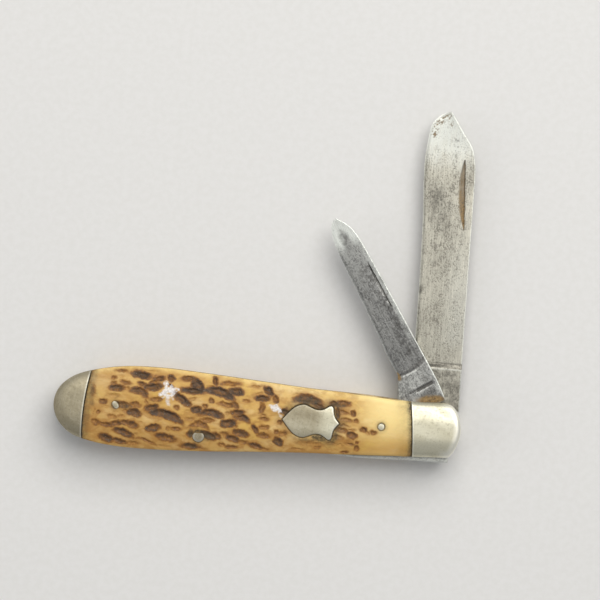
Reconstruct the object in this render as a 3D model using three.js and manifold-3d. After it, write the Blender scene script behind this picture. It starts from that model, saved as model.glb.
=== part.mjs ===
import * as THREE from "three";
import { mergeVertices } from "three/addons/utils/BufferGeometryUtils.js";
import Module from "manifold-3d";

// A two-blade folding whittling knife: a slip-joint jack with a teardrop handle, in millimetres.
// The origin is on the blades' pivot axis, at the outer flat of the pile-side front bolster.
// +X runs to the pivot end, +Y is the side where the blades come out, and +Z runs through the
// layers to the mark side. A blade is drawn along u, from the pivot to its tip, and n, from the
// edge side to the spine side.

// Layers, from the pile side to the mark side.
const COVER_THICK = 2.6;
const LINER_THICK = 0.5;
const CENTER_LINER_THICK = 0.4;
const MAIN_BLADE_THICK = 2.1;
const PEN_BLADE_THICK = 1.7;
const FIT_GAP = 0.05;

// The handle's outline, from the blade-side front corner round the teardrop butt and back.
const HANDLE_OUTLINE = [
  [3.7, 5.65], [-4, 5.7], [-14, 6.35], [-25, 6.7], [-36, 7.4], [-47, 8.13], [-57, 8.62],
  [-65, 8.35], [-71, 7.25], [-75.6, 5.6], [-78.5, 2.9], [-79.4, -0.4], [-78.4, -3.7],
  [-75.4, -6.5], [-71, -7.8], [-65, -8.5], [-57, -8.52], [-47, -8.12], [-36, -7.35],
  [-25, -6.72], [-14, -6.4], [-4, -5.82], [3.4, -5.7], [5.2, -3.9], [6.1, 0.1], [5.4, 3.9],
];
const OUTLINE_STEPS = 96;
const REACH = 20;

// The covers are crowned: their outer face is part of a cone that widens towards the butt.
const CROWN_FRONT_RADIUS = 13;
const CROWN_REAR_RADIUS = 24;
const CROWN_FRONT_X = 10;
const CROWN_REAR_X = -84;
const CROWN_SIDES = 120;
const LAND_DEPTH = 0.12;

// The joints between bolster and bone: where each crosses y = 0, and how x changes with y.
const FRONT_JOINT = { x: -4.2, lean: -0.09 };
const REAR_JOINT = { x: -72.6, lean: 0.075 };

// Pins: place and radius.
const PIVOT_PIN = { x: 0, y: 0, radius: 1.4 };
const CENTER_SPRING_PIN = { x: -48.6, y: -5, radius: 1.2 };
const REAR_SPRING_PIN = { x: -75, y: -2.6, radius: 1 };
const FRONT_SCALE_PIN = { x: -10.6, y: 0, radius: 0.75 };
const REAR_SCALE_PIN = { x: -66.4, y: 0.2, radius: 0.75 };
const FRONT_SHIELD_PIN = { x: -22.4, y: -0.1, radius: 0.45 };
const REAR_SHIELD_PIN = { x: -28.6, y: -0.1, radius: 0.45 };
const PIN_SIDES = 28;

// The shield, let into the mark-side bone.
const SHIELD_CENTER = { x: -25.4, y: -0.1 };
const SHIELD_THICK = 0.8;
const SHIELD_POCKET_SCALE = 1.02;
const SHIELD_STEPS = 5;

// Tangs and backsprings. A flat of the tang lies on the spring at each stop, and a corner between
// two flats lifts the spring on the way.
const TANG_FLAT = 3.1;
const TANG_CORNER = 3.75;
const SPRING_FACE = 3.13;
const SPRING_END_X = 4;
const SPINE_STEP = 4.2;
const SPRING_HINGE = { x: -22, y: -5.35 };
const SPRING_LIFT_DEG = 1.8;
const CORNER_STEPS = 4;
const ARM_OUTLINE = [
  [SPRING_END_X, -SPRING_FACE], [SPRING_END_X, -5.72], [-4, -5.82], [-14, -6.4], [-21.95, -6.65],
  [-21.95, -4.05], [-15, -3.75], [-9, -SPRING_FACE],
];
const ROOT_REGION = [
  [-22.05, -REACH], [-22.05, -4.05], [-34, -4.6], [-42, -4.4], [-46, -3.2], [-51, -3.2],
  [-55, -4.6], [-64, -4.6], [-70, -3.4], [-73, -0.4], [-74.4, 2.6], [-75, REACH],
  [-90, REACH], [-90, -REACH],
];

// Blades. The stop angles are the directions that u points in, measured from +X.
const MAIN_REST_DEG = 90;
const MAIN_CLOSED_DEG = 173;
const PEN_REST_DEG = 123;
const PEN_CLOSED_DEG = 175;
const EDGE_THICK = 0.3;
const MAIN = {
  thick: MAIN_BLADE_THICK,
  closedDeg: MAIN_CLOSED_DEG,
  kickU: 11.8,
  ricassoU: 13,
  spineN: 5,
  edgeN: -5.3,
  outline: [
    [14.4, -4.75], [22, -4.8], [32, -4.9], [44, -5.15], [53, -5.65], [58, -5.65], [61.6, -5.4],
    [64.2, -4.6], [66, -3.3], [66.95, -1.5], [66.4, -0.1], [65, 0.8], [63, 2.2], [60.4, 3.85],
    [57, 4.85], [53, 5.2], [38, 5.3], [22, 5.4], [SPINE_STEP, 5.65],
  ],
  nick: { from: [57.2, 2.8], to: [42.5, 3.7], bulge: [49.6, 1.2] },
};
const PEN = {
  thick: PEN_BLADE_THICK,
  closedDeg: PEN_CLOSED_DEG,
  kickU: 7.6,
  ricassoU: 12.4,
  spineN: 5.9,
  edgeN: -0.6,
  outline: [
    [13.5, -0.6], [22, -0.3], [30, 0.15], [38, 0.45], [44, 0.75], [46.2, 1.1], [47.7, 1.8],
    [48.7, 3.2], [48.1, 4.3], [47, 5.05], [45.5, 5.7], [43.5, 6.05], [38, 6.2], [20, 6.2],
    [8, 6.15], [SPINE_STEP, 5.7],
  ],
  nick: { from: [36.8, 5.1], to: [26.5, 5.1], bulge: [31.6, 3.3] },
};
const NICK_DEPTH = 0.35;

const wasm = await Module();
wasm.setup();

// A closed geometry as a solid, and a solid as a geometry again.
function solidOf(geometry) {
  const bare = geometry.clone();
  bare.deleteAttribute("normal");
  bare.deleteAttribute("uv");
  const merged = mergeVertices(bare, 1e-4);
  const triVerts = new Uint32Array(merged.index.array);
  const vertProperties = merged.attributes.position.array;
  return new wasm.Manifold(new wasm.Mesh({ numProp: 3, vertProperties, triVerts }));
}

function geometryOf(solid) {
  const mesh = solid.getMesh();
  const geometry = new THREE.BufferGeometry();
  geometry.setAttribute("position", new THREE.BufferAttribute(mesh.vertProperties, 3));
  geometry.setIndex(new THREE.BufferAttribute(mesh.triVerts, 1));
  const faceted = geometry.toNonIndexed();
  faceted.computeVertexNormals();
  return faceted;
}

// A shape raised between two heights.
function slab(shape, low, high, curveSegments = 1) {
  const geometry = new THREE.ExtrudeGeometry(shape, {
    depth: high - low,
    bevelEnabled: false,
    curveSegments,
  });
  return solidOf(geometry.translate(0, 0, low));
}

function polygon(points) {
  return new THREE.Shape(points.map(([x, y]) => new THREE.Vector2(x, y)));
}

function handleShape() {
  const knots = HANDLE_OUTLINE.map(([x, y]) => new THREE.Vector3(x, y, 0));
  const curve = new THREE.CatmullRomCurve3(knots, true, "centripetal");
  const points = curve.getSpacedPoints(OUTLINE_STEPS).slice(0, OUTLINE_STEPS);
  return polygon(points.map((p) => [p.x, p.y]));
}

// The stack of layers, each with the heights of its two faces.
function stackLayers() {
  const order = [
    ["pileCover", COVER_THICK],
    ["pileLiner", LINER_THICK],
    ["mainBlade", MAIN_BLADE_THICK],
    ["centerLiner", CENTER_LINER_THICK],
    ["penBlade", PEN_BLADE_THICK],
    ["markLiner", LINER_THICK],
    ["markCover", COVER_THICK],
  ];
  const layers = {};
  let level = 0;
  for (const [name, thick] of order) {
    layers[name] = { low: level, high: level + thick };
    level += thick + FIT_GAP;
  }
  return layers;
}

const LAYERS = stackLayers();
const TOTAL_THICK = LAYERS.markCover.high;
const HANDLE = handleShape();

function pinSolid(pin, low, high, extra = 0) {
  const height = high - low;
  const radius = pin.radius + extra;
  const geometry = new THREE.CylinderGeometry(radius, radius, height, PIN_SIDES);
  geometry.rotateX(Math.PI / 2);
  geometry.translate(pin.x, pin.y, low + height / 2);
  return solidOf(geometry);
}

function drill(solid, pins) {
  const bit = (pin) => pinSolid(pin, -1, TOTAL_THICK + 1, FIT_GAP);
  return pins.reduce((left, pin) => left.subtract(bit(pin)), solid);
}

// The cone that crowns one side's covers. It lies along X with its nearest line flat, just below
// the pile side's flat or above the mark side's.
function crownSolid(side) {
  const length = CROWN_FRONT_X - CROWN_REAR_X;
  const tilt = Math.atan((CROWN_REAR_RADIUS - CROWN_FRONT_RADIUS) / length);
  const cone = new THREE.CylinderGeometry(CROWN_FRONT_RADIUS, CROWN_REAR_RADIUS, length, CROWN_SIDES);
  cone.rotateZ(-Math.PI / 2);
  cone.rotateY(tilt);
  cone.computeBoundingBox();
  const middle = (CROWN_FRONT_X + CROWN_REAR_X) / 2;
  cone.translate(middle, 0, -cone.boundingBox.min.z - LAND_DEPTH);
  if (side === "mark") {
    cone.rotateX(Math.PI);
    cone.translate(0, 0, TOTAL_THICK);
  }
  return solidOf(cone);
}

const CROWNS = { mark: crownSolid("mark"), pile: crownSolid("pile") };

// The stretch of the handle between two joint lines, each moved along X by a given amount.
function stretch(front, frontMove, rear, rearMove) {
  const at = (line, move, y) => [line.x + move + line.lean * y, y];
  const shape = polygon([
    at(front, frontMove, REACH), at(rear, rearMove, REACH),
    at(rear, rearMove, -REACH), at(front, frontMove, -REACH),
  ]);
  return slab(shape, -1, TOTAL_THICK + 1);
}

const PAST_FRONT = { x: 20, lean: 0 };
const PAST_REAR = { x: -90, lean: 0 };
const STRETCHES = {
  front_bolster: stretch(PAST_FRONT, 0, FRONT_JOINT, FIT_GAP / 2),
  scale: stretch(FRONT_JOINT, -FIT_GAP / 2, REAR_JOINT, FIT_GAP / 2),
  rear_bolster: stretch(REAR_JOINT, -FIT_GAP / 2, PAST_REAR, 0),
};
const COVER_PINS = {
  front_bolster: [PIVOT_PIN],
  scale: [FRONT_SCALE_PIN, REAR_SCALE_PIN, CENTER_SPRING_PIN],
  rear_bolster: [REAR_SPRING_PIN],
};

// One piece of a side's cover: a bolster or the bone scale.
function coverSolid(side, piece) {
  const layer = LAYERS[side + "Cover"];
  const crowned = slab(HANDLE, layer.low, layer.high).intersect(CROWNS[side]);
  return drill(crowned.intersect(STRETCHES[piece]), COVER_PINS[piece]);
}

function linerSolid(layerName, pins) {
  const layer = LAYERS[layerName];
  return drill(slab(HANDLE, layer.low, layer.high), pins);
}

// The shield's outline: a point at each end, two rounded shoulders and two pointed ears.
function shieldShape(scale) {
  const shape = new THREE.Shape();
  const at = (x, y) => [x * scale + SHIELD_CENTER.x, y * scale + SHIELD_CENTER.y];
  shape.moveTo(...at(-6, 0));
  shape.quadraticCurveTo(...at(-4.2, 3.1), ...at(-1.5, 3.4));
  shape.quadraticCurveTo(...at(0.8, 3.5), ...at(1.8, 2.5));
  shape.quadraticCurveTo(...at(2.8, 2.5), ...at(4.1, 3.5));
  shape.quadraticCurveTo(...at(4.3, 1.9), ...at(5, 1.3));
  shape.lineTo(...at(6, 0));
  shape.lineTo(...at(5, -1.3));
  shape.quadraticCurveTo(...at(4.3, -1.9), ...at(4.1, -3.5));
  shape.quadraticCurveTo(...at(2.8, -2.5), ...at(1.8, -2.5));
  shape.quadraticCurveTo(...at(0.8, -3.5), ...at(-1.5, -3.4));
  shape.quadraticCurveTo(...at(-4.2, -3.1), ...at(-6, 0));
  return shape;
}

function shieldSolid() {
  const plate = slab(shieldShape(1), TOTAL_THICK - SHIELD_THICK, TOTAL_THICK, SHIELD_STEPS);
  return drill(plate.intersect(CROWNS.mark), [FRONT_SHIELD_PIN, REAR_SHIELD_PIN]);
}

function markScaleSolid() {
  const floor = TOTAL_THICK - SHIELD_THICK - FIT_GAP;
  const pocket = slab(shieldShape(SHIELD_POCKET_SCALE), floor, TOTAL_THICK + 1, SHIELD_STEPS);
  return drill(coverSolid("mark", "scale").subtract(pocket), [FRONT_SHIELD_PIN, REAR_SHIELD_PIN]);
}

// A backspring is fixed at the butt and flexes towards the pivot.
function springRootSolid(layerName) {
  const layer = LAYERS[layerName];
  const handle = slab(HANDLE, layer.low, layer.high);
  const root = handle.intersect(slab(polygon(ROOT_REGION), layer.low, layer.high));
  return drill(root, [CENTER_SPRING_PIN, REAR_SPRING_PIN]);
}

function springArmSolid(layerName) {
  const layer = LAYERS[layerName];
  const aboutHinge = ARM_OUTLINE.map(([x, y]) => [x - SPRING_HINGE.x, y - SPRING_HINGE.y]);
  return slab(polygon(aboutHinge), layer.low, layer.high);
}

// The tang's outline from the spine step round the pivot to the kick, as [u, n] points. Its three
// flats face the spring when the blade is open, at its half stop and closed.
function tangOutline(blade) {
  const points = [[SPINE_STEP, TANG_FLAT]];
  const halfAngle = Math.acos(TANG_FLAT / TANG_CORNER);
  const closedFacing = -Math.PI / 2 + THREE.MathUtils.degToRad(blade.closedDeg - 180);
  const facings = [Math.PI / 2, Math.PI, closedFacing + 2 * Math.PI];
  for (let i = 0; i < 2; i++) {
    const from = facings[i] + halfAngle;
    const to = facings[i + 1] - halfAngle;
    for (let step = 0; step <= CORNER_STEPS; step++) {
      const angle = from + ((to - from) * step) / CORNER_STEPS;
      points.push([TANG_CORNER * Math.cos(angle), TANG_CORNER * Math.sin(angle)]);
    }
  }
  const across = Math.sin(closedFacing);
  const kickN = (TANG_FLAT - blade.kickU * Math.cos(closedFacing)) / across;
  points.push([blade.kickU, kickN]);
  return points;
}

// The wedge of air on one side of the ground part of a blade.
function bevelSolid(blade, sign) {
  const width = blade.spineN - blade.edgeN;
  const drop = (blade.thick - EDGE_THICK) / 2;
  const box = new THREE.BoxGeometry(80, 40, 4);
  box.translate(blade.ricassoU + 40, 20, 2 * sign);
  box.rotateX(-sign * Math.atan(drop / width));
  box.translate(0, -blade.spineN, (sign * blade.thick) / 2);
  return solidOf(box);
}

function nickSolid(blade) {
  const { from, to, bulge } = blade.nick;
  const shape = new THREE.Shape();
  shape.moveTo(from[0], -from[1]);
  shape.quadraticCurveTo(bulge[0], -bulge[1], to[0], -to[1]);
  shape.closePath();
  const slope = (blade.thick - EDGE_THICK) / 2 / (blade.spineN - blade.edgeN);
  const surface = blade.thick / 2 - slope * (blade.spineN - from[1]);
  return slab(shape, surface - NICK_DEPTH, blade.thick, 10);
}

// A blade about the pivot, with its middle plane at height 0. The part's y is -n.
function bladeSolid(blade) {
  const outline = [...blade.outline, ...tangOutline(blade)].map(([u, n]) => [u, -n]);
  const blank = slab(polygon(outline), -blade.thick / 2, blade.thick / 2);
  const ground = blank.subtract(bevelSolid(blade, 1)).subtract(bevelSolid(blade, -1));
  const bored = ground.subtract(pinSolid(PIVOT_PIN, -REACH, REACH, FIT_GAP));
  return bored.subtract(nickSolid(blade));
}

const MATERIALS = {
  bone: { color: 0xa8682c, roughness: 0.5, metalness: 0 },
  nickelSilver: { color: 0xb9b2a2, roughness: 0.38, metalness: 0.9 },
  brass: { color: 0x9c7c42, roughness: 0.5, metalness: 0.9 },
  springSteel: { color: 0x77736a, roughness: 0.45, metalness: 0.9 },
  bladeSteel: { color: 0x8a8880, roughness: 0.42, metalness: 0.9 },
};

const knife = new THREE.Group();

function addPiece(name, solid, material, parent = knife) {
  const mesh = new THREE.Mesh(geometryOf(solid), new THREE.MeshStandardMaterial(MATERIALS[material]));
  mesh.name = name;
  parent.add(mesh);
}

addPiece("mark_scale", markScaleSolid(), "bone");
addPiece("pile_scale", coverSolid("pile", "scale"), "bone");
for (const side of ["mark", "pile"]) {
  addPiece(side + "_front_bolster", coverSolid(side, "front_bolster"), "nickelSilver");
  addPiece(side + "_rear_bolster", coverSolid(side, "rear_bolster"), "nickelSilver");
}

const STACK_PINS = [PIVOT_PIN, CENTER_SPRING_PIN, REAR_SPRING_PIN];
const SCALE_PINS = [FRONT_SCALE_PIN, REAR_SCALE_PIN];
const SHIELD_PINS = [FRONT_SHIELD_PIN, REAR_SHIELD_PIN];
addPiece("mark_liner", linerSolid("markLiner", [...STACK_PINS, ...SCALE_PINS, ...SHIELD_PINS]), "brass");
addPiece("center_liner", linerSolid("centerLiner", STACK_PINS), "brass");
addPiece("pile_liner", linerSolid("pileLiner", [...STACK_PINS, ...SCALE_PINS]), "brass");

addPiece("shield", shieldSolid(), "nickelSilver");
addPiece("pivot_pin", pinSolid(PIVOT_PIN, 0, TOTAL_THICK), "nickelSilver");
for (const [name, pin] of [["center_spring_pin", CENTER_SPRING_PIN], ["rear_spring_pin", REAR_SPRING_PIN]]) {
  const peened = pinSolid(pin, 0, TOTAL_THICK).intersect(CROWNS.mark).intersect(CROWNS.pile);
  addPiece(name, peened, "nickelSilver");
}
for (const [end, pin] of [["front", FRONT_SCALE_PIN], ["rear", REAR_SCALE_PIN]]) {
  addPiece("mark_scale_pin_" + end, pinSolid(pin, LAYERS.markLiner.low, TOTAL_THICK), "nickelSilver");
  addPiece("pile_scale_pin_" + end, pinSolid(pin, 0, LAYERS.pileLiner.high), "nickelSilver");
}
for (const [end, pin] of [["front", FRONT_SHIELD_PIN], ["rear", REAR_SHIELD_PIN]]) {
  addPiece("shield_pin_" + end, pinSolid(pin, LAYERS.markLiner.low, TOTAL_THICK), "nickelSilver");
}

// The springs: the main blade's lies flush at its half stop, and the pen blade's is held up by the
// corner of its tang.
for (const [name, layerName, liftDeg] of [["main", "mainBlade", 0], ["pen", "penBlade", SPRING_LIFT_DEG]]) {
  addPiece(name + "_spring_root", springRootSolid(layerName), "springSteel");
  const hinge = new THREE.Group();
  hinge.position.set(SPRING_HINGE.x, SPRING_HINGE.y, 0);
  hinge.rotation.z = -THREE.MathUtils.degToRad(liftDeg);
  addPiece(name + "_spring_arm", springArmSolid(layerName), "springSteel", hinge);
  knife.add(hinge);
}

for (const [name, blade, layerName, restDeg] of [
  ["main_blade", MAIN, "mainBlade", MAIN_REST_DEG],
  ["pen_blade", PEN, "penBlade", PEN_REST_DEG],
]) {
  const pivot = new THREE.Group();
  pivot.position.z = (LAYERS[layerName].low + LAYERS[layerName].high) / 2;
  pivot.rotation.z = THREE.MathUtils.degToRad(restDeg);
  addPiece(name, bladeSolid(blade), "bladeSteel", pivot);
  knife.add(pivot);
}

export default knife;
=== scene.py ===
import math

import bpy
import numpy as np
from mathutils import Matrix, Vector, kdtree
from mathutils.geometry import delaunay_2d_cdt


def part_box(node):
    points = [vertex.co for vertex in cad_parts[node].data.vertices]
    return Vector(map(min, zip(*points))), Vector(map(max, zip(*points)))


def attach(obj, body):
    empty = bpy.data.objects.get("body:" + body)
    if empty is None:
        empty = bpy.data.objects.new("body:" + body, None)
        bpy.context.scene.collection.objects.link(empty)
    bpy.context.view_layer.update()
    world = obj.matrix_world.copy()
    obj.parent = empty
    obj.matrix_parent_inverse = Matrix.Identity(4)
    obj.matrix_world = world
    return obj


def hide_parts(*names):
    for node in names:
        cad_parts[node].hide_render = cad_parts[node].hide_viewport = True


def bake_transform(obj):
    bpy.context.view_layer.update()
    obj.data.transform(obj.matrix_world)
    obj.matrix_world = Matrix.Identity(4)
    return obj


# A two-blade folding whittling knife. Lengths are in millimetres until a mesh is made, and every
# height comes from the frame's own layers.
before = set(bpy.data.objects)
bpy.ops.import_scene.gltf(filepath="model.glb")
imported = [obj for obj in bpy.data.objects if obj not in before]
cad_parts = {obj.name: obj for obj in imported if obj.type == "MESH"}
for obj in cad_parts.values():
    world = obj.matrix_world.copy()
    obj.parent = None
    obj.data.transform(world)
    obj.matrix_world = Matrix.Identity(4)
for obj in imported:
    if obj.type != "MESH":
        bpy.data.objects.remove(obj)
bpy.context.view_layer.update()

MM = 0.001


def layer(node):
    """The lowest and highest z of a CAD node, in millimetres."""
    low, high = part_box(node)
    return low.z / MM, high.z / MM


MARK_TOP = layer("mark_scale")[1]
PILE_BOTTOM = layer("pile_scale")[0]

# ---------- the handle's driving sizes
HANDLE_KNOTS = [
    (3.6, 5.62), (-4, 5.7), (-14, 6.35), (-25, 6.7), (-36, 7.4), (-47, 8.13), (-57, 8.62),
    (-65, 8.35), (-71, 7.25), (-75.6, 5.6), (-78.5, 2.9), (-79.4, -0.4), (-78.4, -3.7),
    (-75.4, -6.5), (-71, -7.8), (-65, -8.5), (-57, -8.52), (-47, -8.12), (-36, -7.35),
    (-25, -6.72), (-14, -6.4), (-4, -5.84), (1.5, -5.58), (3.85, -5.4), (4.45, -4.9),
    (5.15, -3.7), (5.85, -1.75), (6.12, 0.5), (5.15, 4.1),
]
# A joint between bone and bolster is the line x = a + b y + c y^2.
FRONT_JOINT = (-4.05, -0.09, -0.004)
REAR_JOINT = (-73.0, 0.075, 0.009)
JOINT_SEAM = 0.07
JOINT_STEPS = 26
# The covers are crowned as a cone: x and the radius there, and the flat land left on its crest.
CROWN_FRONT = (10, 13)
CROWN_REAR = (-84, 24)
LAND_DEPTH = 0.12
CENTER_PIN = (-48.6, -5.0)
FRONT_SCALE_PIN = (-10.55, -0.05)
REAR_SCALE_PIN = (-66.4, 0.2)
SHIELD_CENTER = (-25.4, -0.1)
SCALE_PIN_RADIUS = 0.72
# Each pin through the bone and how wide the bone is dished round it.
BONE_PINS = [(CENTER_PIN, 1.15), (FRONT_SCALE_PIN, 0.7), (REAR_SCALE_PIN, SCALE_PIN_RADIUS)]
# How deep pin ends lie: a scale pin's inner end in its liner, the spun pins under the bolsters'
# crest, the scale pins' heads and the shield's pins under the bone's, and how far the large
# pin is shifted to the pile side.
PIN_BURIED = 0.07
SPUN_DEPTH = 1.0
HEAD_SUNK = 0.1
BADGE_PIN_SUNK = 0.3
CENTER_PIN_SHIFT = 0.02


# ---------- small maths
LATTICE_CELLS = 256
CORNER_ANGLE = 20


def ease(low, high, x):
    """0 below low, 1 above high, and a smooth step between them. It runs down if low > high."""
    t = np.clip((np.asarray(x, float) - low) / (high - low), 0, 1)
    return t * t * (3 - 2 * t)


def most(*values):
    """The largest of the values at each point."""
    return np.maximum.reduce(np.broadcast_arrays(*values))


def away(x, y, cx, cy, rx, ry):
    """How far a point is from cx, cy: 1 is the rim of an ellipse with the half sizes rx, ry."""
    return np.hypot((x - cx) / rx, (y - cy) / ry)


def spots(x, y, table, rag, rim, core):
    """The strongest mark of a table at each point, each fading from its core to its rim."""
    marks = [strength * ease(rim, core, away(x, y, cx, cy, rx, ry) + rag)
             for cx, cy, rx, ry, strength in table]
    return most(*marks)


def lattice(x, y, size, seed):
    """Smooth value noise from -1 to 1, whose blobs are about size across."""
    table = np.random.default_rng(seed).random((LATTICE_CELLS, LATTICE_CELLS)) * 2 - 1
    gx, gy = np.asarray(x, float) / size, np.asarray(y, float) / size
    ix, iy = np.floor(gx).astype(int), np.floor(gy).astype(int)
    fx, fy = gx - ix, gy - iy
    fx, fy = fx * fx * (3 - 2 * fx), fy * fy * (3 - 2 * fy)
    ix, iy, jx, jy = (k % LATTICE_CELLS for k in (ix, iy, ix + 1, iy + 1))
    a = table[ix, iy] * (1 - fx) + table[jx, iy] * fx
    b = table[ix, jy] * (1 - fx) + table[jx, jy] * fx
    return a * (1 - fy) + b * fy


def fractal(x, y, size, seed, octaves=3):
    """Value noise with finer and finer blobs laid over each other."""
    total = 0
    for k in range(octaves):
        total = total + lattice(x, y, size / 2**k, seed + 17 * k) / 2**k
    return total / 1.5


def between(a, b, ta, tb, t):
    """The point at t of the line that is at a when t is ta, and at b when it is tb."""
    return (tb - t) / (tb - ta) * a + (t - ta) / (tb - ta) * b


def spline(knots, closed=False, per_span=24):
    """A centripetal Catmull-Rom curve through the knots."""
    p = np.array(knots, float)
    if closed:
        p = np.vstack([p[-1], p, p[0], p[1]])
    else:
        p = np.vstack([2 * p[0] - p[1], p, 2 * p[-1] - p[-2]])
    out = []
    for p0, p1, p2, p3 in zip(p, p[1:], p[2:], p[3:]):
        t0 = 0
        t1 = t0 + np.linalg.norm(p1 - p0) ** 0.5
        t2 = t1 + np.linalg.norm(p2 - p1) ** 0.5
        t3 = t2 + np.linalg.norm(p3 - p2) ** 0.5
        t = np.linspace(t1, t2, per_span, endpoint=False)[:, None]
        a1, a2, a3 = between(p0, p1, t0, t1, t), between(p1, p2, t1, t2, t), between(p2, p3, t2, t3, t)
        b1, b2 = between(a1, a2, t0, t2, t), between(a2, a3, t1, t3, t)
        out.append(between(b1, b2, t1, t2, t))
    curve = np.vstack(out)
    return curve if closed else np.vstack([curve, p[-2]])


def respace(loop, step):
    """The closed loop with points a step apart, each sharp corner kept."""
    loop = np.array(loop, float)
    ahead = np.roll(loop, -1, 0) - loop
    behind = loop - np.roll(loop, 1, 0)
    turn = np.abs(np.arctan2(
        behind[:, 0] * ahead[:, 1] - behind[:, 1] * ahead[:, 0], (behind * ahead).sum(1)
    ))
    corners = np.flatnonzero(turn > math.radians(CORNER_ANGLE))
    if not len(corners):
        corners = np.array([0])
    out = []
    for a, b in zip(corners, np.roll(corners, -1)):
        b = b + len(loop) if b <= a else b
        run = loop[np.arange(a, b + 1) % len(loop)]
        far = np.concatenate([[0], np.cumsum(np.linalg.norm(np.diff(run, axis=0), axis=1))])
        count = max(1, round(far[-1] / step))
        at = np.linspace(0, far[-1], count, endpoint=False)
        out.append(np.c_[np.interp(at, far, run[:, 0]), np.interp(at, far, run[:, 1])])
    return np.vstack(out)


def past_joint(x, y, joint):
    """How far x is in front of a joint line at the height y."""
    return x - joint[0] - joint[1] * y - joint[2] * y**2


def clip(loop, joint, side, gap):
    """The part of the loop on one side of a joint line: side 1 is in front of it, -1 behind."""
    value = side * past_joint(loop[:, 0], loop[:, 1], joint) - gap
    kept, cuts = [], []
    for i in range(len(loop)):
        j = (i + 1) % len(loop)
        if value[i] >= 0:
            kept.append(loop[i])
        if value[i] * value[j] < 0:
            cuts.append(len(kept))
            kept.append(loop[i] + (loop[j] - loop[i]) * value[i] / (value[i] - value[j]))
    kept = np.array(kept)
    if cuts[1] - cuts[0] == 1:
        kept = np.roll(kept, -cuts[1], 0)
    y = np.linspace(kept[-1][1], kept[0][1], JOINT_STEPS)[1:-1]
    x = joint[0] + joint[1] * y + joint[2] * y**2 + side * gap
    return np.vstack([kept, np.c_[x, y]])


def edge_distance(points, loop):
    """How far each point is from the closed loop."""
    tree = kdtree.KDTree(len(loop))
    for i, p in enumerate(loop):
        tree.insert((p[0], p[1], 0), i)
    tree.balance()
    near = np.array([tree.find((p[0], p[1], 0))[1] for p in points])
    best = np.full(len(points), np.inf)
    for shift in (-2, -1, 0, 1):
        a = loop[(near + shift) % len(loop)]
        b = loop[(near + shift + 1) % len(loop)]
        ab = b - a
        t = np.clip(((points - a) * ab).sum(1) / np.maximum((ab * ab).sum(1), 1e-12), 0, 1)
        best = np.minimum(best, np.linalg.norm(points - a - ab * t[:, None], axis=1))
    return best


def inside(points, loop):
    """Whether each point is inside the closed loop."""
    a, b = loop, np.roll(loop, -1, 0)
    x, y = points[:, 0][:, None], points[:, 1][:, None]
    crosses = (a[:, 1] > y) != (b[:, 1] > y)
    rise = np.where(b[:, 1] == a[:, 1], 1e-12, b[:, 1] - a[:, 1])
    left = x < a[:, 0] + (y - a[:, 1]) / rise * (b[:, 0] - a[:, 0])
    return (crosses & left).sum(1) % 2 == 1


def fill_points(loop, spacing):
    """A staggered grid of points inside the loop."""
    low, high = loop.min(0), loop.max(0)
    a, b = loop, np.roll(loop, -1, 0)
    out = []
    for row, y in enumerate(np.arange(low[1] + spacing / 2, high[1], spacing * ROW_PITCH)):
        hit = (a[:, 1] > y) != (b[:, 1] > y)
        (ax, ay), (bx, by) = a[hit].T, b[hit].T
        cut = np.sort(ax + (y - ay) / (by - ay) * (bx - ax))
        xs = np.arange(low[0] + (row % 2) * spacing / 2, high[0], spacing)
        for start, end in zip(cut[::2], cut[1::2]):
            keep = xs[(xs > start) & (xs < end)]
            out.append(np.c_[keep, np.full(len(keep), y)])
    return np.vstack(out)


# ---------- meshes
ROW_PITCH = 0.87  # between the rows of a staggered grid, as a share of its spacing
RING_SHARE = 0.93  # a ring's point is dropped where it comes nearer to the edge than this
GRID_CLEAR = 0.45  # between the last ring and the grid, as a share of its spacing
SHARP_ANGLE = 40
PIN_SIDES = 40
SHEET_STEP = 0.3


def add_object(name, data):
    obj = bpy.data.objects.new(name, data)
    bpy.context.scene.collection.objects.link(obj)
    return obj


def mesh_object(name, verts, faces):
    """An object from vertices in millimetres and a list of equal-length face arrays."""
    mesh = bpy.data.meshes.new(name)
    mesh.vertices.add(len(verts))
    mesh.vertices.foreach_set("co", (np.asarray(verts, float) * MM).astype(np.float32).ravel())
    loops = np.concatenate([f.ravel() for f in faces])
    sizes = np.concatenate([np.full(len(f), f.shape[1]) for f in faces])
    mesh.loops.add(len(loops))
    mesh.loops.foreach_set("vertex_index", loops.astype(np.int32))
    mesh.polygons.add(len(sizes))
    starts = np.concatenate([[0], np.cumsum(sizes)[:-1]])
    mesh.polygons.foreach_set("loop_start", starts.astype(np.int32))
    mesh.update(calc_edges=True)
    mesh.validate()
    mesh.shade_smooth()
    mesh.set_sharp_from_angle(angle=math.radians(SHARP_ANGLE))
    return add_object(name, mesh)


def paint(obj, **channels):
    """Stores each channel, clipped to 0..1, as a number on every vertex."""
    count = len(obj.data.vertices)
    for name, values in channels.items():
        attribute = obj.data.attributes.new(name, "FLOAT", "POINT")
        values = np.clip(np.broadcast_to(values, count), 0, 1)
        attribute.data.foreach_set("value", values.astype(np.float32))


def points_mm(obj):
    """The object's vertices in millimetres."""
    co = np.zeros(len(obj.data.vertices) * 3, np.float32)
    obj.data.vertices.foreach_get("co", co)
    return co.reshape(-1, 3).astype(float) / MM


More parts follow.
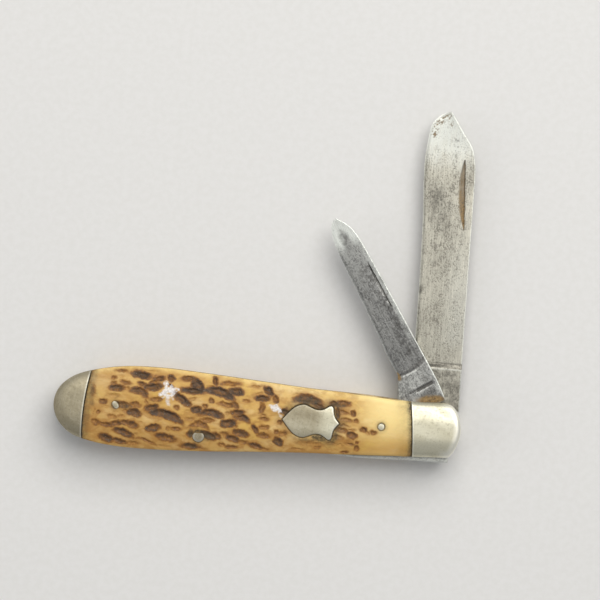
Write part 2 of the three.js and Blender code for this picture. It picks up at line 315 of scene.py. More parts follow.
def triangles(points, boundary):
    """The triangles that fill a loop, whose points come first, through the points inside it."""
    edges = [(i, (i + 1) % boundary) for i in range(boundary)]
    flat = [Vector(p) for p in points]
    out, _, faces, origin, _, _ = delaunay_2d_cdt(flat, edges, [], 0, 1e-7)
    if len(out) != len(points):
        raise ValueError(f"an outline crosses itself: {len(points)} points became {len(out)}")
    back = np.array([o[0] for o in origin])
    tri = back[np.array([f for f in faces if len(f) == 3])]
    rim = (tri < boundary).all(1)
    middle = points[tri[rim]].mean(1)
    keep = np.ones(len(tri), bool)
    keep[np.flatnonzero(rim)[~inside(middle, points[:boundary])]] = False
    tri = tri[keep]
    p = points[tri]
    area = (p[:, 1, 0] - p[:, 0, 0]) * (p[:, 2, 1] - p[:, 0, 1])
    area = area - (p[:, 2, 0] - p[:, 0, 0]) * (p[:, 1, 1] - p[:, 0, 1])
    tri[area < 0] = tri[area < 0][:, ::-1]
    return tri


def plate(name, outline, top, bottom, spacing, step, rings):
    """A closed plate. top gives the height at x, y and the distance from the edge, and so does
    bottom, unless it is a number, for a flat underside. rings are the distances from the edge
    at which extra rows of points lie."""
    loop = respace(outline, step)
    area = (loop[:, 0] * np.roll(loop[:, 1], -1) - np.roll(loop[:, 0], -1) * loop[:, 1]).sum()
    loop = loop if area > 0 else loop[::-1]
    along = np.roll(loop, -1, 0) - np.roll(loop, 1, 0)
    inward = np.c_[-along[:, 1], along[:, 0]] / np.linalg.norm(along, axis=1)[:, None]
    inner = []
    for ring in rings:
        row = loop + inward * ring
        inner.append(row[(edge_distance(row, loop) > RING_SHARE * ring) & inside(row, loop)])
    grid = fill_points(loop, spacing)
    grid = grid[edge_distance(grid, loop) > max(rings) + GRID_CLEAR * spacing]
    points = np.vstack([loop, *inner, grid])
    n, boundary = len(points), len(loop)
    tri = triangles(points, boundary)
    d = edge_distance(points, loop)
    d[:boundary] = 0
    if callable(bottom):
        low_points, low_tri = points, tri
        low = bottom(points[:, 0], points[:, 1], d)
    else:
        low_points, low_tri = loop, triangles(loop, boundary)
        low = np.full(boundary, bottom)
    verts = [np.c_[points, top(points[:, 0], points[:, 1], d)], np.c_[low_points, low]]
    upper, under = np.arange(boundary), np.arange(boundary) + n
    wall = np.c_[upper, under, np.roll(under, -1), np.roll(upper, -1)]
    return mesh_object(name, np.vstack(verts), [tri, low_tri[:, ::-1] + n, wall])


def lathe(name, center, profile, squash=None):
    """A turned piece about a vertical axis. profile is [radius, z] from the bottom axis to the
    top axis, and squash(angle) scales the radius."""
    angle = np.linspace(0, 2 * math.pi, PIN_SIDES, endpoint=False)
    scale = np.ones(PIN_SIDES) if squash is None else squash(angle)
    verts = [[*center, profile[0][1]]]
    for r, z in profile[1:-1]:
        for a, k in zip(angle, scale):
            verts.append([center[0] + r * k * math.cos(a), center[1] + r * k * math.sin(a), z])
    verts.append([*center, profile[-1][1]])
    around = np.arange(PIN_SIDES)
    beside = (around + 1) % PIN_SIDES
    tris = [np.c_[np.zeros(PIN_SIDES, int), beside + 1, around + 1]]
    quads = []
    for k in range(len(profile) - 3):
        a, b = 1 + k * PIN_SIDES, 1 + (k + 1) * PIN_SIDES
        quads.append(np.c_[around + a, beside + a, beside + b, around + b])
    last = 1 + (len(profile) - 3) * PIN_SIDES
    tris.append(np.c_[around + last, beside + last, np.full(PIN_SIDES, len(verts) - 1)])
    return mesh_object(name, verts, [np.vstack(tris), np.vstack(quads)])


# ---------- node materials
class Shader:
    """A procedural material under construction. Coordinates are the object's, in millimetres."""

    def __init__(self, name):
        self.material = bpy.data.materials.new(name)
        self.material.use_nodes = True
        self.tree = self.material.node_tree
        self.tree.nodes.clear()
        self.object = self.node("ShaderNodeTexCoord", {}).outputs["Object"]
        self.principled = self.node("ShaderNodeBsdfPrincipled", {})
        self.node("ShaderNodeOutputMaterial", {"Surface": self.principled.outputs[0]})

    def node(self, kind, inputs, **settings):
        """A node with its inputs, by name or number, fed from values or other outputs."""
        made = self.tree.nodes.new(kind)
        for key, value in settings.items():
            setattr(made, key, value)
        for key, value in inputs.items():
            self.feed(made.inputs[key], value)
        return made

    def feed(self, socket, value):
        if isinstance(value, bpy.types.NodeSocket):
            self.tree.links.new(value, socket)
        elif socket.type == "RGBA":
            socket.default_value = (*value, 1)
        else:
            socket.default_value = value

    def where(self, turn=0, stretch=(1, 1, 1), move=(0, 0, 0)):
        """Object coordinates in millimetres, turned about Z by degrees and then stretched."""
        turned = self.node("ShaderNodeMapping", {
            "Vector": self.object, "Rotation": (0, 0, math.radians(-turn)), "Scale": (1 / MM,) * 3,
        })
        return self.node("ShaderNodeMapping", {
            "Vector": turned.outputs[0], "Scale": stretch, "Location": move,
        }).outputs[0]

    def noise(self, where, size, detail=3, rough=0.55, warp=0):
        return self.node("ShaderNodeTexNoise", {
            "Vector": where, "Scale": 1 / size, "Detail": detail, "Roughness": rough,
            "Distortion": warp,
        }).outputs["Fac"]

    def channel(self, name):
        return self.node("ShaderNodeAttribute", {}, attribute_name=name).outputs["Fac"]

    def math(self, operation, a, b, clamp=False):
        made = self.node("ShaderNodeMath", {0: a, 1: b}, operation=operation, use_clamp=clamp)
        return made.outputs[0]

    def span(self, value, low, high, to_low=0.0, to_high=1.0):
        """value from low..high to to_low..to_high, smoothly and clamped."""
        numbers = dict(enumerate((value, low, high, to_low, to_high)))
        return self.node("ShaderNodeMapRange", numbers, interpolation_type="SMOOTHSTEP").outputs[0]

    def times(self, a, b):
        return self.math("MULTIPLY", a, b)

    def plus(self, a, b):
        return self.math("ADD", a, b)

    def less(self, a, b):
        return self.math("SUBTRACT", a, b)

    def mix(self, share, a, b):
        return self.node("ShaderNodeMix", {0: share, 6: a, 7: b}, data_type="RGBA").outputs[2]

    def coats(self, base, *layers):
        """The base color with each (share, color) laid over it in turn."""
        for share, color in layers:
            base = self.mix(share, base, color)
        return base

    def ramp(self, value, *stops):
        made = self.node("ShaderNodeValToRGB", {0: value})
        marks = made.color_ramp.elements
        while len(marks) < len(stops):
            marks.new(0.5)
        for mark, (place, color) in zip(marks, stops):
            mark.position = place
            mark.color = (*color, 1)
        return made.outputs[0]

    def bump(self, height, depth):
        inputs = {"Strength": 1, "Distance": depth * MM, "Height": height}
        return self.node("ShaderNodeBump", inputs).outputs[0]

    def finish(self, **sockets):
        for name, value in sockets.items():
            self.feed(self.principled.inputs[name.replace("_", " ")], value)
        return self.material


def scratches(s, turn, seed, size, length):
    """Thin straight marks across the surface: 1 on a mark, 0 elsewhere."""
    where = s.where(turn, (1 / length, 1, 1), (seed, seed * 1.7, 0))
    return s.span(s.noise(where, size, 1, 0.4), 0.70, 0.76)


def bone_material():
    s = Shader("jigged_bone")
    broad = s.noise(s.where(0, (0.5, 1, 1)), 7, 3)
    hue = s.noise(s.where(0, (0.6, 1, 1), (3, 8, 0)), 4, 3, 0.6)
    cloud = s.noise(s.where(0, (0.6, 1, 1), (7, 2, 0)), 1.9, 3, 0.6, 0.4)
    fibre = s.noise(s.where(0, (0.16, 1, 1), (5, 0, 0)), 0.6, 4, 0.6)
    speck = s.noise(s.where(0, (1, 1, 1), (0, 9, 0)), 0.42, 3, 0.6)
    uneven = s.noise(s.where(-15, (0.6, 1, 1), (2, 5, 0)), 0.9, 3, 0.6)
    cut, chalk = s.channel("cut"), s.channel("chalk")
    clouded = s.times(s.span(cloud, 0.43, 0.62), s.channel("zone"))
    ragged = s.plus(cut, s.times(s.less(speck, 0.5), 0.7))
    ragged = s.plus(ragged, s.less(uneven, 0.5))
    stain = s.ramp(
        ragged, (0.2, (0.46, 0.235, 0.066)), (0.48, (0.31, 0.143, 0.036)), (0.7, (0.195, 0.09, 0.031)),
        (0.9, (0.112, 0.062, 0.033)), (1.0, (0.075, 0.048, 0.034)),
    )
    # Painted glints: lighter specks in the cuts that stand in for highlights.
    painted_glint = s.times(s.span(speck, 0.6, 0.7), s.span(cut, 0.4, 0.8))
    clean = s.ramp(
        broad, (0.34, (0.63, 0.38, 0.11)), (0.5, (0.735, 0.47, 0.15)), (0.66, (0.82, 0.58, 0.21))
    )
    base = s.coats(
        clean,
        (s.span(hue, 0.5, 0.68, 0, 0.55), (0.82, 0.62, 0.32)),
        (s.span(hue, 0.5, 0.34, 0, 0.5), (0.74, 0.49, 0.10)),
        (s.span(fibre, 0.35, 0.7, 0.0, 0.25), (0.52, 0.29, 0.08)),
        (s.times(s.channel("shade"), 0.58), (0.48, 0.275, 0.085)),
        # wear and painted highlight, lighter bone
        (s.channel("wear"), (1.0, 0.79, 0.35)),
        (s.times(clouded, 0.8), (0.43, 0.215, 0.058)),
        (s.span(cut, 0.04, 0.6, 0, 0.98), stain),
        # painted glints
        (s.times(painted_glint, 0.4), (0.42, 0.31, 0.2)),
        (s.times(s.channel("grime"), s.span(speck, 0.3, 0.62, 0.7, 1.0)), (0.07, 0.056, 0.034)),
        (chalk, s.ramp(speck, (0.34, (0.58, 0.58, 0.60)), (0.55, (0.93, 0.92, 0.92)))),
    )
    rough = s.plus(s.span(fibre, 0.3, 0.7, 0.38, 0.5), s.times(chalk, 0.35))
    height = s.plus(s.times(fibre, 0.5), s.times(speck, 0.7))
    height = s.less(height, s.times(scratches(s, 38, 3, 0.12, 20), 0.6))
    return s.finish(Base_Color=base, Roughness=rough, Normal=s.bump(height, 0.05),
                    Specular_IOR_Level=0.2, Subsurface_Weight=0.06,
                    Subsurface_Radius=(0.001, 0.0005, 0.0003))


def nickel_material():
    s = Shader("nickel_silver")
    cloud = s.noise(s.where(-20, (0.35, 1, 1)), 2.2, 4, 0.6)
    fine = s.noise(s.where(0, (1, 1, 1), (3, 1, 0)), 0.45, 4, 0.65)
    brushed = s.noise(s.where(82, (0.06, 1, 1)), 0.22, 3, 0.6)
    marks = s.math("MAXIMUM", scratches(s, 74, 2, 0.13, 16), scratches(s, -24, 5, 0.12, 18))
    grime, tarnish = s.channel("grime"), s.channel("tarnish")
    clean = s.ramp(cloud, (0.3, (0.61, 0.58, 0.44)), (0.6, (0.71, 0.685, 0.54)))
    dull = s.ramp(
        cloud, (0.3, (0.30, 0.255, 0.165)), (0.55, (0.36, 0.31, 0.21)), (0.72, (0.43, 0.38, 0.27))
    )
    base = s.coats(
        clean,
        # tarnish, with painted shading on the shield
        (tarnish, dull),
        (s.span(fine, 0.5, 0.7, 0, 0.34), (0.27, 0.24, 0.175)),
        (s.span(brushed, 0.4, 0.65, 0, 0.05), (0.88, 0.86, 0.76)),
        (s.times(marks, 0.25), (0.86, 0.84, 0.76)),
        # polish and painted highlights, lighter
        (s.channel("polish"), (0.93, 0.91, 0.80)),
        (grime, (0.06, 0.045, 0.024)),
    )
    rough = s.plus(s.span(cloud, 0.3, 0.7, 0.5, 0.42), s.span(fine, 0.45, 0.7, 0, 0.1))
    rough = s.plus(rough, s.times(grime, 0.4))
    rough = s.plus(rough, s.times(tarnish, 0.14))
    height = s.less(s.times(fine, 0.45), s.times(marks, 0.5))
    height = s.plus(height, s.times(brushed, 0.25))
    return s.finish(Base_Color=base, Roughness=rough, Metallic=0.95, Normal=s.bump(height, 0.012))


def steel_material(name, turn, light, deep, mottle):
    """Carbon steel with a grey patina, brushed along the direction turn. mottle, from 0 to 1,
    is how strongly the dark patina has bitten."""
    s = Shader(name)
    middle = tuple((a + b) / 2 for a, b in zip(light, deep))
    bright = tuple(min(1, 1.35 * c) for c in light)
    brushed = s.noise(s.where(turn, (0.05, 1, 1)), 0.3, 4, 0.65)
    streak = s.noise(s.where(turn, (0.3, 1, 1), (4, 1, 0)), 0.6, 4, 0.65)
    broad = s.noise(s.where(turn, (0.45, 1, 1), (2, 7, 0)), 4.5, 4, 0.62, 0.3)
    blots = s.noise(s.where(turn, (0.8, 1, 1), (11, 3, 0)), 1.25, 5, 0.68, 0.3)
    pepper = s.noise(s.where(turn, (0.8, 1, 1), (1, 8, 0)), 0.32, 4, 0.7)
    polish, rust = s.channel("polish"), s.channel("rust")
    bitten = s.plus(s.times(pepper, 0.66), s.times(blots, 0.34))
    bitten = s.plus(bitten, s.times(s.less(0.5, broad), 0.22))
    bitten = s.span(bitten, 0.5 - 0.05 * mottle, 0.62 - 0.04 * mottle, 0, 0.7 + 0.2 * mottle)
    bitten = s.times(bitten, s.less(1.0, s.times(polish, 0.72)))
    rusty = s.ramp(
        pepper, (0.36, (0.11, 0.068, 0.028)), (0.5, (0.26, 0.165, 0.062)), (0.62, (0.40, 0.27, 0.12))
    )
    base = s.coats(
        s.ramp(broad, (0.3, middle), (0.62, light)),
        (s.span(streak, 0.42, 0.62, 0, 0.55), middle),
        # polish and painted highlights, lighter
        (polish, (0.83, 0.855, 0.80)),
        (bitten, deep),
        (s.span(brushed, 0.45, 0.66, 0, 0.28), bright),
        # patina and dirt, with painted shade past the grind's start and painted shadow in the nail pull
        (s.channel("dark"), (0.05, 0.046, 0.04)),
        (rust, rusty),
    )
    rough = s.plus(s.span(broad, 0.3, 0.7, 0.46, 0.38), s.times(bitten, 0.15))
    rough = s.less(rough, s.times(polish, 0.12))
    rough = s.math("ADD", rough, s.times(rust, 0.25), True)
    metal = s.less(1.0, s.times(polish, 0.65))
    metal = s.math("SUBTRACT", metal, s.times(rust, 0.75), True)
    height = s.less(s.times(brushed, 0.8), s.times(bitten, 0.8))
    return s.finish(Base_Color=base, Roughness=rough, Metallic=metal, Normal=s.bump(height, 0.018))


def brass_material():
    s = Shader("aged_brass")
    cloud = s.noise(s.where(0, (0.4, 1, 1)), 1.8, 4, 0.6)
    fine = s.noise(s.where(0, (0.3, 1, 2)), 0.3, 3, 0.6)
    clean = s.ramp(
        cloud, (0.3, (0.20, 0.14, 0.07)), (0.55, (0.37, 0.29, 0.16)), (0.75, (0.52, 0.43, 0.27))
    )
    base = s.mix(s.span(fine, 0.5, 0.7, 0, 0.5), clean, (0.12, 0.09, 0.055))
    return s.finish(Base_Color=base, Roughness=s.span(cloud, 0.3, 0.7, 0.6, 0.4), Metallic=0.9,
                    Normal=s.bump(fine, 0.012))


def floor_material():
    s = Shader("pale_floor")
    grain = s.noise(s.where(), 1.3, 3)
    base = s.mix(s.span(grain, 0.3, 0.7, 0, 1), (0.74, 0.735, 0.72), (0.765, 0.76, 0.75))
    return s.finish(Base_Color=base, Roughness=0.7)


BONE = bone_material()
NICKEL = nickel_material()
BRASS = brass_material()
SPRING_STEEL = steel_material("spring_steel", 0, (0.36, 0.33, 0.29), (0.13, 0.115, 0.10), 0.8)


def dress(obj, material, slot, body, *nodes):
    """Gives a piece its material, and its body unless it bends between two, and hides the CAD nodes it
    stands for. slot is not used."""
    obj.data.materials.append(material)
    if body:
        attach(obj, body)
    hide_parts(*nodes)
    return obj


# ---------- covers: bone and bolsters
HANDLE = spline(HANDLE_KNOTS, closed=True)


def crown_drop(x, y):
    """How far the crowned outer face lies below its crest."""
    share = (CROWN_FRONT[0] - x) / (CROWN_FRONT[0] - CROWN_REAR[0])
    radius = CROWN_FRONT[1] + (CROWN_REAR[1] - CROWN_FRONT[1]) * share
    drop = radius - np.sqrt(np.maximum(radius**2 - y**2, 1)) - LAND_DEPTH
    return (drop + np.sqrt(drop**2 + 0.016)) / 2


def rim_drop(d, radius, depth):
    """A worn round edge: 0 inside, and depth at the edge."""
    t = np.clip(1 - d / radius, 0, 1)
    return depth * (1 - np.sqrt(1 - t**2 * 0.98))


def joint_distance(x, y, joint):
    """How far a point is from a joint line, along x."""
    return np.abs(past_joint(x, y, joint))


def scale_outline():
    """The bone's outline: the handle's, cut off at both joints."""
    return clip(clip(HANDLE, FRONT_JOINT, -1, JOINT_SEAM), REAR_JOINT, 1, JOINT_SEAM)


def cover(name, node, outline, relief, spacing, step, rings, flank):
    """One cover of the handle, with the x, y of its points and which of them are on the outer
    face, more than flank off the liner. The pile side is drawn mirrored and then turned over."""
    low, high = layer(node)
    if node.startswith("mark"):
        flat = low
        piece = plate(name, outline, lambda x, y, d: high - relief(x, y, d), low,
                      spacing, step, rings)
    else:
        flat = high
        piece = plate(name, outline * (1, -1), lambda x, y, d: -low - relief(x, -y, d), -high,
                      spacing, step, rings)
        piece.data.transform(Matrix.Diagonal((1, -1, -1, 1)))
    x, y, z = points_mm(piece).T
    return piece, x, y, np.abs(z - flat) > flank


def sheet(name, outline, low, high, radius, depth, spacing, rings):
    """A flat bar or sheet with both its rims rounded."""
    return plate(name, outline, lambda x, y, d: high - rim_drop(d, radius, depth),
                 lambda x, y, d: low + rim_drop(d, radius, depth), spacing, SHEET_STEP, rings)


# The jig cuts on the mark side: x, y, length, width, strength, and where they aren't 0 the lean in
# degrees and the arch. A strength under 0.5 is a stain more than a cut, and arch is how far the
# middle of the cut bows upward.
MARK_CUTS = [
    (-65.5, 7.4, 2.0, 0.5, 0.6), (-61.4, 6.8, 3.8, 1.35, 1, -8, 0.1), (-59.5, 7.9, 2.2, 0.35, 0.4, 2),
    (-67.2, 5.8, 1.0, 0.7, 0.6), (-65.6, 6.4, 1.7, 0.7, 0.35), (-64.7, 5.0, 2.3, 0.9, 0.6, -8),
    (-67.2, 4.8, 1.1, 0.6, 0.55), (-66.3, 3.8, 3.1, 1.35, 0.85), (-64.3, 3.8, 1.4, 0.7, 0.5),
    (-61.6, 3.0, 3.9, 1.6, 0.85, -18, 0.5), (-59.9, 1.3, 0.8, 0.4, 0.55, -60),
    (-61.1, 5.0, 1.7, 0.9, 0.7, -10), (-66.8, 2.1, 2.8, 0.9, 0.4), (-69.0, 0.7, 1.6, 1.0, 0.65),
    (-68.3, -0.2, 1.4, 0.5, 0.35), (-65.0, 0.4, 2.3, 1.2, 0.7), (-63.9, 0.4, 0.8, 0.8, 0.5),
    (-62.2, 0.6, 2.4, 1.15, 0.62), (-58.8, 0.2, 2.8, 1.4, 0.9, 12),
    (-62.4, -1.2, 2.7, 1.6, 0.88, -12, 0.1), (-64.2, -0.9, 1.3, 0.8, 0.5, -20),
    (-69.8, -1.5, 0.75, 0.7, 0.65), (-70.8, -1.4, 1.5, 0.35, 0.4, 90),
    (-67.0, -2.2, 2.1, 1.0, 0.5, -15), (-65.2, -2.1, 1.3, 0.6, 0.45, 20),
    (-70.2, -3.6, 1.8, 1.2, 0.65, -12), (-68.2, -4.0, 2.7, 1.0, 0.75, -5),
    (-66.0, -3.6, 2.4, 0.9, 0.75, 10), (-64.1, -3.3, 2.0, 1.0, 0.72),
    (-62.5, -3.7, 2.3, 1.25, 0.75, -12), (-64.4, -5.5, 4.1, 1.3, 0.85, -15, 0.15),
    (-61.7, -5.6, 1.0, 0.6, 0.4), (-67.8, -6.8, 2.9, 1.3, 0.9, -18), (-65.2, -7.3, 3.2, 0.9, 0.78, -4),
    (-62.4, -7.5, 3.0, 0.8, 0.5), (-59.4, -6.9, 3.3, 0.55, 0.65, -15, 0.15),
    (-60.9, -2.9, 0.8, 0.6, 0.35), (-57.8, 6.4, 2.4, 1.0, 0.82, 8), (-58.9, 5.5, 1.7, 0.8, 0.62, 30),
    (-58.9, 4.5, 3.7, 1.45, 0.92, 14), (-55.2, 6.7, 1.5, 1.4, 0.85, 60), (-51.7, 6.8, 2.9, 1.0, 0.75),
    (-49.6, 5.6, 3.4, 1.9, 1, -46, 0.2), (-50.4, 4.4, 4.5, 1.2, 1, 1), (-50.2, 5.6, 1.5, 1.6, 0.85),
    (-55.2, 5.1, 1.0, 0.5, 0.8, -25), (-58.0, 2.0, 2.1, 0.9, 0.65), (-52.6, 2.5, 4.1, 1.45, 0.95, -32),
    (-50.8, 1.6, 1.1, 0.7, 0.6, -50), (-50.4, 2.7, 1.7, 0.8, 0.45, 10), (-53.5, 0.7, 1.2, 1.0, 0.6),
    (-49.4, 0.6, 1.8, 1.3, 0.85), (-47.7, 1.4, 1.2, 0.9, 0.65), (-51.0, 0.1, 1.6, 0.8, 0.32),
    (-55.7, -1.4, 6.5, 1.6, 1, -14, 0.45), (-50.6, -1.5, 2.3, 0.8, 0.42, 5),
    (-46.3, -0.4, 4.7, 1.5, 0.88, -4, 0.5), (-46.8, -1.5, 2.8, 0.9, 0.62),
    (-58.2, -4.0, 2.9, 1.45, 0.82, 12), (-55.1, -3.9, 0.9, 0.8, 0.5, 90),
    (-53.4, -3.8, 2.1, 0.65, 0.65, -5), (-48.6, -3.0, 3.9, 1.2, 0.68, -5, 0.6),
    (-50.4, -4.7, 1.3, 1.0, 0.6, 60), (-46.3, -4.7, 3.1, 1.4, 0.85, -18),
    (-44.8, -4.6, 1.8, 0.9, 0.75, -40), (-55.4, -5.8, 3.9, 1.45, 0.82, -10),
    (-50.2, -7.2, 3.7, 1.0, 0.8), (-47.8, -7.6, 2.0, 0.5, 0.45), (-56.0, -7.7, 4.0, 0.5, 0.35),
    (-45.8, 6.8, 1.5, 1.0, 0.9, -70), (-42.7, 6.4, 3.9, 0.9, 0.62, 2, 0.1), (-46.6, 5.6, 1.3, 0.5, 0.5),
    (-41.4, 4.9, 2.9, 1.5, 0.92), (-44.7, 4.1, 5.5, 1.65, 1, -14, 0.55), (-46.3, 2.7, 1.1, 1.1, 0.6),
    (-43.0, 2.1, 3.7, 0.9, 0.62, -4), (-41.3, 2.1, 2.0, 1.1, 0.62, -50),
    (-39.1, 3.2, 1.3, 0.5, 0.6, -5), (-38.9, 3.9, 1.7, 1.2, 0.28), (-40.8, 0.6, 2.5, 1.25, 0.85),
    (-43.0, 0.3, 1.2, 0.8, 0.45), (-42.5, -1.8, 3.1, 1.55, 0.92, 12),
    (-39.7, -0.8, 3.1, 1.25, 0.85, -15, 0.35), (-41.0, -2.4, 0.9, 0.6, 0.5),
    (-39.9, -3.7, 3.3, 1.35, 0.78, -8), (-43.0, -4.2, 2.5, 1.0, 0.55, -12),
    (-41.5, -4.9, 2.9, 1.25, 0.8, -15), (-39.2, -5.5, 1.9, 0.9, 0.55), (-43.5, -6.5, 1.6, 0.7, 0.6, -8),
    (-41.6, -6.7, 2.3, 0.7, 0.62), (-37.3, 6.4, 2.3, 0.45, 0.5, 6),
    (-34.6, 5.5, 2.5, 1.3, 0.95, -45, 0.1), (-36.7, 4.9, 1.9, 0.6, 0.45, 10),
    (-35.8, 4.0, 2.9, 1.15, 0.9, 3), (-33.0, 4.0, 1.4, 1.2, 0.8, -60), (-35.8, 2.0, 2.2, 1.2, 0.65, 85),
    (-35.3, 0.5, 1.1, 0.7, 0.5), (-35.1, -0.3, 1.7, 0.7, 0.6), (-36.8, -2.6, 1.8, 1.0, 0.85, -50),
    (-35.1, -2.0, 1.8, 0.9, 0.6), (-34.9, -3.8, 2.5, 1.15, 0.65, -5),
    (-36.5, -6.1, 2.9, 0.95, 0.8, -12), (-34.6, -6.6, 2.0, 0.5, 0.55, -8),
    (-32.3, -2.8, 1.0, 0.9, 0.65), (-31.0, 1.6, 1.6, 1.1, 0.9), (-31.8, -0.7, 1.1, 0.8, 0.7),
    (-31.0, -3.0, 1.7, 1.2, 0.55), (-31.9, -4.8, 2.1, 1.45, 0.85, -30), (-28.5, 5.3, 1.9, 0.6, 0.4, -5),
    (-26.3, 4.2, 5.6, 1.7, 0.8, -5, 0.4), (-24.1, 3.3, 2.3, 1.0, 0.75, -25),
    (-20.8, 4.0, 1.7, 0.9, 0.72), (-18.8, 4.2, 2.7, 1.1, 0.75), (-19.8, 2.2, 2.3, 0.8, 0.7, -80),
    (-16.6, 2.4, 1.2, 1.1, 0.75, -60), (-18.6, 2.4, 2.4, 0.8, 0.55, -6), (-15.8, 0.8, 1.0, 0.8, 0.6),
    (-17.8, 0.8, 2.6, 0.8, 0.52, -5), (-18.3, -0.4, 2.2, 0.6, 0.46, -4),
    (-14.2, -0.9, 1.4, 0.9, 0.8, -25), (-13.4, -1.5, 1.1, 0.7, 0.5, -30), (-12.1, -1.4, 1.3, 0.9, 0.65),
    (-18.7, -1.4, 2.7, 1.2, 0.58, -10), (-16.9, -1.2, 1.7, 0.6, 0.5),
    (-16.5, -2.3, 2.0, 1.35, 0.78, -12), (-15.3, -3.7, 0.7, 0.6, 0.7),
    (-17.0, -4.1, 1.9, 0.6, 0.52, -8), (-19.2, -3.0, 2.0, 0.9, 0.5, -12), (-18.9, -4.5, 1.9, 0.6, 0.42),
    (-20.6, -4.3, 2.5, 0.7, 0.4), (-15.3, -4.9, 1.0, 0.9, 0.65), (-17.9, -6.0, 1.3, 0.5, 0.7),
    (-25.3, -4.7, 5.0, 1.1, 0.45), (-23.7, -5.3, 1.9, 0.8, 0.5), (-27.6, -6.1, 2.1, 0.5, 0.5),
    (-33.4, -4.9, 1.5, 0.5, 0.3),
]
CUT_DEPTH = 0.5
# Faint brown washes between the cuts: x, y, half length, half height, strength.
WASHES = [
    (-66.0, 5.5, 2.2, 1.3, 0.24), (-31.0, 4.0, 1.8, 1.4, 0.34), (-18.9, 3.0, 2.6, 1.7, 0.42),
    (-18.2, -0.2, 2.6, 1.6, 0.36), (-17.7, -3.6, 2.8, 1.3, 0.34), (-25.0, -4.9, 3.2, 0.9, 0.34),
    (-33.5, -3.4, 2.2, 1.6, 0.26), (-45.5, 2.6, 3.0, 1.6, 0.22), (-60.5, 3.6, 3.4, 1.4, 0.2),
    (-71.1, 2.6, 0.9, 2.4, 0.5),
]


def pile_cuts():
    """Seeded jig cuts in loose rows for the pile side."""
    rng = np.random.default_rng(23)
    cuts = []
    for y in np.arange(-7.4, 7.6, 1.55):
        x = -71 + rng.random() * 2
        while x < -13:
            length = rng.uniform(1.4, 4.2)
            fade = 1 if x < -24 else 0.75
            strength = rng.uniform(0.45, 1) * fade
            width = rng.uniform(0.8, 1.5) * (0.75 + 0.25 * strength)
            lean, arch = rng.uniform(-18, 14), rng.uniform(0, 0.12) * length
            row = y + rng.uniform(-0.35, 0.35)
            cuts.append((x + length / 2, row, length, width, strength, lean, arch))
            x += length + rng.uniform(0.1, 1.5) + (2.5 if x > -24 else 0)
    return cuts


def jig(x, y, cuts, seed):
    """(depth, stain) of the jig cuts at each point. Each cut is a gouge with a ragged outline; its stain is
    painted lighter towards its lower left, leaving painted shade at its upper right rim.
    """
    wx = x + 0.3 * fractal(x, y, 1.1, seed) + 0.06 * lattice(x, y, 0.4, seed + 5)
    wy = y + 0.22 * fractal(x, y, 0.9, seed + 9) + 0.05 * lattice(x, y, 0.35, seed + 6)
    depth, stain = np.zeros_like(x), np.zeros_like(x)
    for cut in cuts:
        cx, cy, length, width, strength, lean, arch = (*cut, 0, 0)[:7]
        reach = length / 2 + 1.6
        near = np.flatnonzero((np.abs(x - cx) < reach) & (np.abs(y - cy) < reach))
        cos, sin = math.cos(math.radians(lean)), math.sin(math.radians(lean))
        dx, dy = wx[near] - cx, wy[near] - cy
        along = (dx * cos + dy * sin) / (length / 2)
        across = (dy * cos - dx * sin - arch * (1 - along**2)) / (width / 2)
        q = (np.abs(along) ** 2.2 + np.abs(across) ** 2.1) ** (1 / 2.15)
        gouge = ease(1.08, 0.25, q) * (0.85 + 0.3 * np.clip(across, -1, 1))
        depth[near] = np.maximum(depth[near], gouge * strength**1.6)
        out = (q - 1) * width / 2
        soft = 0.72 * ease(0.4, -0.16, out) + 0.28 * ease(1.5, 0.1, out)
        # Painted light and shade: each cut's stain eases off towards its lower left, so it stays darkest at
        # its upper right rim.
        lit_side = ease(0.85, 0.25, np.hypot(along + 0.2, across + 0.3))
        stain[near] = np.maximum(stain[near], soft * (1 - 0.14 * lit_side) * strength)
    return depth * CUT_DEPTH, stain


def shield_loop():
    """The shield's outline: a point at each end, two round shoulders and two blunt ears."""
    half = spline([
        (-5.95, 0), (-5.2, 0.95), (-4.4, 1.87), (-3.5, 2.72), (-2.5, 3.25), (-1.4, 3.42),
        (-0.5, 3.12), (0.5, 2.7), (1.5, 2.52), (2.4, 2.65), (3.2, 3.08), (3.72, 3.42),
        (4.15, 3.52), (4.5, 3.25), (4.68, 2.45), (4.84, 1.7), (5.15, 1.02), (5.55, 0.5), (6.0, 0),
    ], per_span=10)
    return np.vstack([half, (half * (1, -1))[::-1][1:-1]])[::-1] + SHIELD_CENTER


SHIELD = shield_loop()

# White filler: the middle of each mark, its size, and its arms as angle in degrees, reach, breadth.
CHALK = [
    ((-55.6, 3.75), 1.05, [(108, 1.85, 0.5), (22, 1.9, 0.6), (-8, 1.2, 0.6), (203, 1.65, 0.65),
                           (235, 1.6, 0.5), (275, 2.6, 0.7), (312, 1.7, 0.6), (65, 1.2, 0.5)]),
    ((-32.9, 2.0), 0.7, [(150, 1.1, 0.6), (-25, 1.2, 0.5), (-50, 1.9, 0.25), (80, 0.6, 0.5)]),
]


